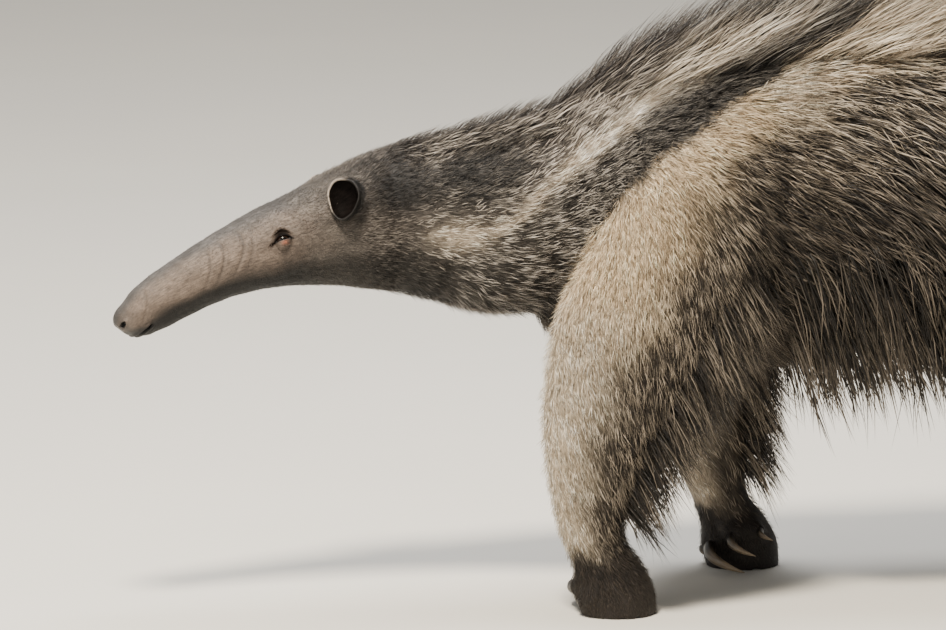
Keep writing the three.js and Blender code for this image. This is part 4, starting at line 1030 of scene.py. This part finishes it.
def hangAim(reach, outward, back):  # down, with a push outward and back
    def aim(roots, out, here):
        length = reach * chance.uniform(0.45, 1.05, len(roots))
        way = out * (outward, outward, 0) + np.array([back, 0, -1.0])
        way = way + chance.normal(0, 0.15, way.shape)
        start = out * 0.6 + np.array([back * 1.3, 0, -0.6])
        return roots + unit(start) * (0.4 * length)[:, None], roots + unit(way) * length[:, None]
    return aim


def plumeAim(roots, out, here):  # back and out to the plume's outline
    count = len(roots)
    share, angle, _ = tailForm.locate(roots)
    sweep = chance.uniform(0.08, 0.22, count)
    ahead = np.clip(share + sweep, 0, 1)
    past = np.clip(share + sweep - 1, 0, 1)[:, None]
    along = tailForm.frame(ahead)[1]
    falls = ramp(np.abs(angle), 0.5, 1.5)  # hair of the sides falls towards the underside
    aimed = np.sign(angle) * (np.abs(angle) + falls * (math.pi - np.abs(angle)) * chance.uniform(0.1, 0.95, count))
    target = plumeReach.point(ahead, aimed + chance.normal(0, 0.12, count))
    middle = plumeReach.frame(ahead)[0][:, :3]
    reach = (1 - 0.5 * chance.uniform(0, 1, count) ** 1.6)[:, None]
    tips = middle + (target - middle) * reach + along * past * 500
    return roots + out * 24 + along * 46 + (tips - roots) * 0.2, tips


crestPart = (middles.on("head", "trunk") & (wide < 0.42) & (x > -100) & (x < 870)) * (1 - 0.6 * (wide > 0.25))
fringePart = onTrunk * (wide > 1.7) * (wide < 2.75) * (x > 320) * (x < 700)
tailPart = middles.on("tail") + onTrunk * (x > 860)
longCoat("coat_mane", "trunk", crestPart, maneAim, **coats["mane"])
longCoat("coat_fringe", "trunk", fringePart, hangAim(*hangs["fringe"]), **coats["fringe"])
for side in ("Left", "Right"):
    for part, leg, behind, low, high in (("feathering", "fore", 2.2, 120, 370), ("breeches", "hind", 2.1, 115, 440)):
        rear = middles.on(leg + side) * (wide > behind) * (z > low) * (z < high)
        longCoat(f"coat_{part}_{side.lower()}", leg + side, rear, hangAim(*hangs[part]), **coats[part])
longCoat("coat_tail", "tail", tailPart, plumeAim, **coats["tail"])

# The hide goes to the CAD's frame, in metres, once nothing more grows on it.
joinedMesh.vertices.foreach_set("co", ((points + shift) / 1000).ravel())
joinedMesh.update()
joinedMesh.materials.clear()
joinedMesh.materials.append(hide)
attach(skin, "root")
flesh = ["head", "snout", "neck", "torso", "tail", "ear_left", "ear_right"]
limbs = [f"{leg}_{part}" for leg in ("foreleg", "hindleg") for part in ("upper", "lower")]
limbs += ["forefoot", "hindfoot"]
flesh += [f"{limb}_{side}" for limb in limbs for side in ("left", "right")]
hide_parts(*flesh)

# Eyes: wet dark balls with a brown ring of iris round a black pupil. They give one small bright reflection.
print("eyes")
eyeLook = {"iris": ((0.42, "#050404"), (0.5, "#1c120b"), (0.95, "#0d0907")),  # radians from the pupil's middle
           "fibres": 900.0,  # finer than shows in this view
           "roughness": 0.2, "ior": 1.376, "shine": 0.3}
wetEye, add = material("wet eye")
iris = add("ValToRGB", {"Fac": add("Attribute", attribute_name="fromPupil").outputs["Fac"]})
setStops(iris, eyeLook["iris"])
fibres = add("TexNoise", {"Scale": eyeLook["fibres"], "Detail": 2.0})
fine = add("MapRange", {"Value": fibres, "To Min": 0.6, "To Max": 1.4})
colour = add("VectorMath", {0: iris, "Scale": fine}, operation="SCALE")
shader = add("BsdfPrincipled", {"Base Color": colour, "Roughness": eyeLook["roughness"], "IOR": eyeLook["ior"],
                                "Specular IOR Level": eyeLook["shine"]})
add("OutputMaterial", {"Surface": shader})
rounds, sides = 28, 40
polars = np.linspace(0.05, math.pi - 0.05, rounds)
for place, (at, along, up, out) in eyes.items():
    polar, turn = np.meshgrid(polars, np.arange(sides) * 2 * math.pi / sides, indexing="ij")
    radius = eyeSpec["radius"] * (1 + 0.03 * np.exp(-((polar / 0.55) ** 2)))  # the cornea stands out a little
    ring = (np.cos(polar) * radius)[..., None] * out + (np.sin(polar) * radius)[..., None] * (
        np.cos(turn)[..., None] * along + np.sin(turn)[..., None] * up)
    front, back = out * eyeSpec["radius"] * 1.03, -out * eyeSpec["radius"]
    corners = np.vstack([[front], ring.reshape(-1, 3), [back]]) + at
    mesh = meshOf("eyeball_" + place, (corners + shift) / 1000, gridFaces(rounds, sides))
    setAttribute(mesh, "fromPupil", "FLOAT", np.concatenate([[0.0], np.repeat(polars, sides), [math.pi]]))
    mesh.materials.append(wetEye)
    eyeball = objectOf("eyeball_" + place, mesh)
    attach(eyeball, "root")
    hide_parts("eye_" + place)

# Claws: ridged keratin, dark at the root and worn pale at the tip, with a hard dull shine.
print("claws")
clawSpec = {"rounds": 28, "sides": 20, "thin": 0.2,
            "hindRoot": (-22, 0, 2), "hind": (27, 9),  # a hind claw's root from the toe's middle, length and width
            "foreWays": ((-0.3, 1, -0.1), (1, 0.1, -0.32)), "hindWays": ((-1, 0, 0.1), (-0.75, 0, -0.65)),
            "ridges": 3, "ridgeLong": 14,  # ridges of about 2 mm, as on a real claw, and 14 mm long
            "shades": ((0.2, "#1e1813"), (0.85, "#8c7c66")), "roughness": (0.28, 0.55), "ior": 1.54}
keratin, add = material("claw keratin")
shades = add("ValToRGB", {"Fac": add("Attribute", attribute_name="fromRoot").outputs["Fac"]})
setStops(shades, clawSpec["shades"])
grain = add("Attribute", attribute_name="grain").outputs["Vector"]
streaks = add("TexNoise", {"Vector": grain, "Scale": 1.0, "Detail": 4.0})
fine = add("MapRange", {"Value": streaks, "From Min": 0.3, "From Max": 0.7, "To Min": 0.6, "To Max": 1.25})
colour = add("VectorMath", {0: shades, "Scale": fine}, operation="SCALE")
worn, dry = clawSpec["roughness"]
rough = add("MapRange", {"Value": streaks, "To Min": worn, "To Max": dry})
bump = add("Bump", {"Height": streaks, "Strength": 0.35, "Distance": 0.0004})
shader = add("BsdfPrincipled", {"Base Color": colour, "Roughness": rough, "Normal": bump, "IOR": clawSpec["ior"]})
add("OutputMaterial", {"Surface": shader})


def clawPiece(name, root, start, finish, length, width):  # a curved cone, with its ways at the root and at the tip
    steps = 4 if length > 40 else 3
    at = np.array(root, float)
    rings = []
    for i in range(steps + 1):
        half = (width / 2) * (1 - i / (steps + 0.15)) ** 0.75
        rings.append((*at, half * 0.85, half * 1.15, half))
        share = (i + 0.5) / steps
        at = at + unit(np.array(start) * (1 - share) + np.array(finish) * share) * (length / steps)
    rounds, sides, ridges = clawSpec["rounds"], clawSpec["sides"], clawSpec["ridges"]
    corners, faces = loft(Form(rings), rounds, sides, lambda t, angle: -clawSpec["thin"])
    mesh = meshOf(name, (corners + shift) / 1000, faces)
    t = np.concatenate([[0], np.repeat(np.linspace(0, 1, rounds + 1), sides), [1]])
    turn = np.concatenate([[0], np.tile(np.arange(sides) * 2 * math.pi / sides, rounds + 1), [0]])
    lines = [t * length / clawSpec["ridgeLong"], np.cos(turn) * ridges, np.sin(turn) * ridges]
    setAttribute(mesh, "fromRoot", "FLOAT", t)
    setAttribute(mesh, "grain", "FLOAT_VECTOR", np.stack(lines, 1))
    mesh.materials.append(keratin)
    piece = objectOf(name, mesh)
    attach(piece, "root")
    return piece


for name, (foot, inward) in feet.items():
    side = "left" if inward > 0 else "right"
    mirror = np.array([1, inward, 1])
    if kindOf[name] == "fore":
        for i, (root, reach, clawRoot, length, width) in enumerate(foreDigits):
            start = foot * (1, 1, 0) + np.array(root) * mirror + np.array(clawRoot) * mirror
            ways = np.array(clawSpec["foreWays"]) * mirror
            piece = clawPiece(f"claw_fore_{side}_{i + 1}", start, *ways, length, width)
            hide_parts(f"forefoot_claw_{side}_{i + 1}")
    else:
        for i in range(hindToes["count"]):
            start = hindToe(foot, inward, i) + clawSpec["hindRoot"]
            piece = clawPiece(f"claw_hind_{side}_{i + 1}", start, *clawSpec["hindWays"], *clawSpec["hind"])
            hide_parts(f"hindfoot_claw_{side}_{i + 1}")

# The floor is pale and dull, so it gives the eye only an even tone and the shadow.
print("stage")
floorSpec = {"half": 30, "colour": "#cfccc4", "roughness": 0.85, "dust": 3.0}  # metres, and clouds per metre
matteFloor, add = material("matte floor")
dust = add("TexNoise", {"Vector": add("TexCoord").outputs["Object"], "Scale": floorSpec["dust"], "Detail": 5.0})
tone = add("MapRange", {"Value": dust, "To Min": 0.97, "To Max": 1.03})
paleFloor = add("VectorMath", {0: tuple(hexLinear(floorSpec["colour"])), "Scale": tone}, operation="SCALE")
shader = add("BsdfPrincipled", {"Base Color": paleFloor, "Roughness": floorSpec["roughness"]})
add("OutputMaterial", {"Surface": shader})
half = floorSpec["half"]
floorCorners = [(-half, -half, 0), (half, -half, 0), (half, half, 0), (-half, half, 0)]
floorMesh = meshOf("floor", floorCorners, [(0, 1, 2, 3)])
floorMesh.materials.append(matteFloor)
objectOf("floor", floorMesh)

# Soft light: a pale room and three round lamps, with place from the target, size in metres, watts and colour.
room = {"colour": "#eceae6", "strength": 0.5}
lamps = {"key": ((-0.9, -2.0, 3.6), 0.9, 500, "#fff3e0"), "top": ((0.4, 1.0, 3.8), 2.4, 210, "#f8f8fa"),
         "fill": ((-3.2, -2.6, 1.2), 2.5, 55, "#faf8f6")}
world = bpy.data.worlds.new("soft room")
bpy.context.scene.world = world
world.use_nodes = True
background = world.node_tree.nodes["Background"]
background.inputs["Color"].default_value = rgba(room["colour"])
background.inputs["Strength"].default_value = room["strength"]
target = (shift / 1000) + (0, 0, 0.35)
for name, (place, size, power, colour) in lamps.items():
    light = bpy.data.lights.new(name, "AREA")
    light.shape, light.size, light.energy, light.color = "DISK", size, power, hexLinear(colour)
    lamp = objectOf(name, light)
    lamp.location = target + place
    lamp.rotation_euler = (Vector(target) - Vector(target + place)).to_track_quat("-Z", "Y").to_euler()

# The camera looks at the forequarters a little from behind the head's side and from above.
view = {"azimuth": -8, "elevation": 10, "height": 0.3078, "distance": 10.5, "width": 1.0217}  # degrees and metres
azimuth, elevation = math.radians(view["azimuth"]), math.radians(view["elevation"])
away = np.array([math.sin(azimuth), -math.cos(azimuth), 0]) * math.cos(elevation) + upward * math.sin(elevation)
lens = bpy.data.cameras.new("camera")
lens.sensor_width = 36
lens.lens = 36 * view["distance"] / view["width"]
lens.clip_end = 100
camera = objectOf("camera", lens)
camera.location = shift / 1000 + (0, 0, view["height"]) + away * view["distance"]
camera.rotation_euler = Vector(-away).to_track_quat("-Z", "Y").to_euler()
bpy.context.scene.camera = camera
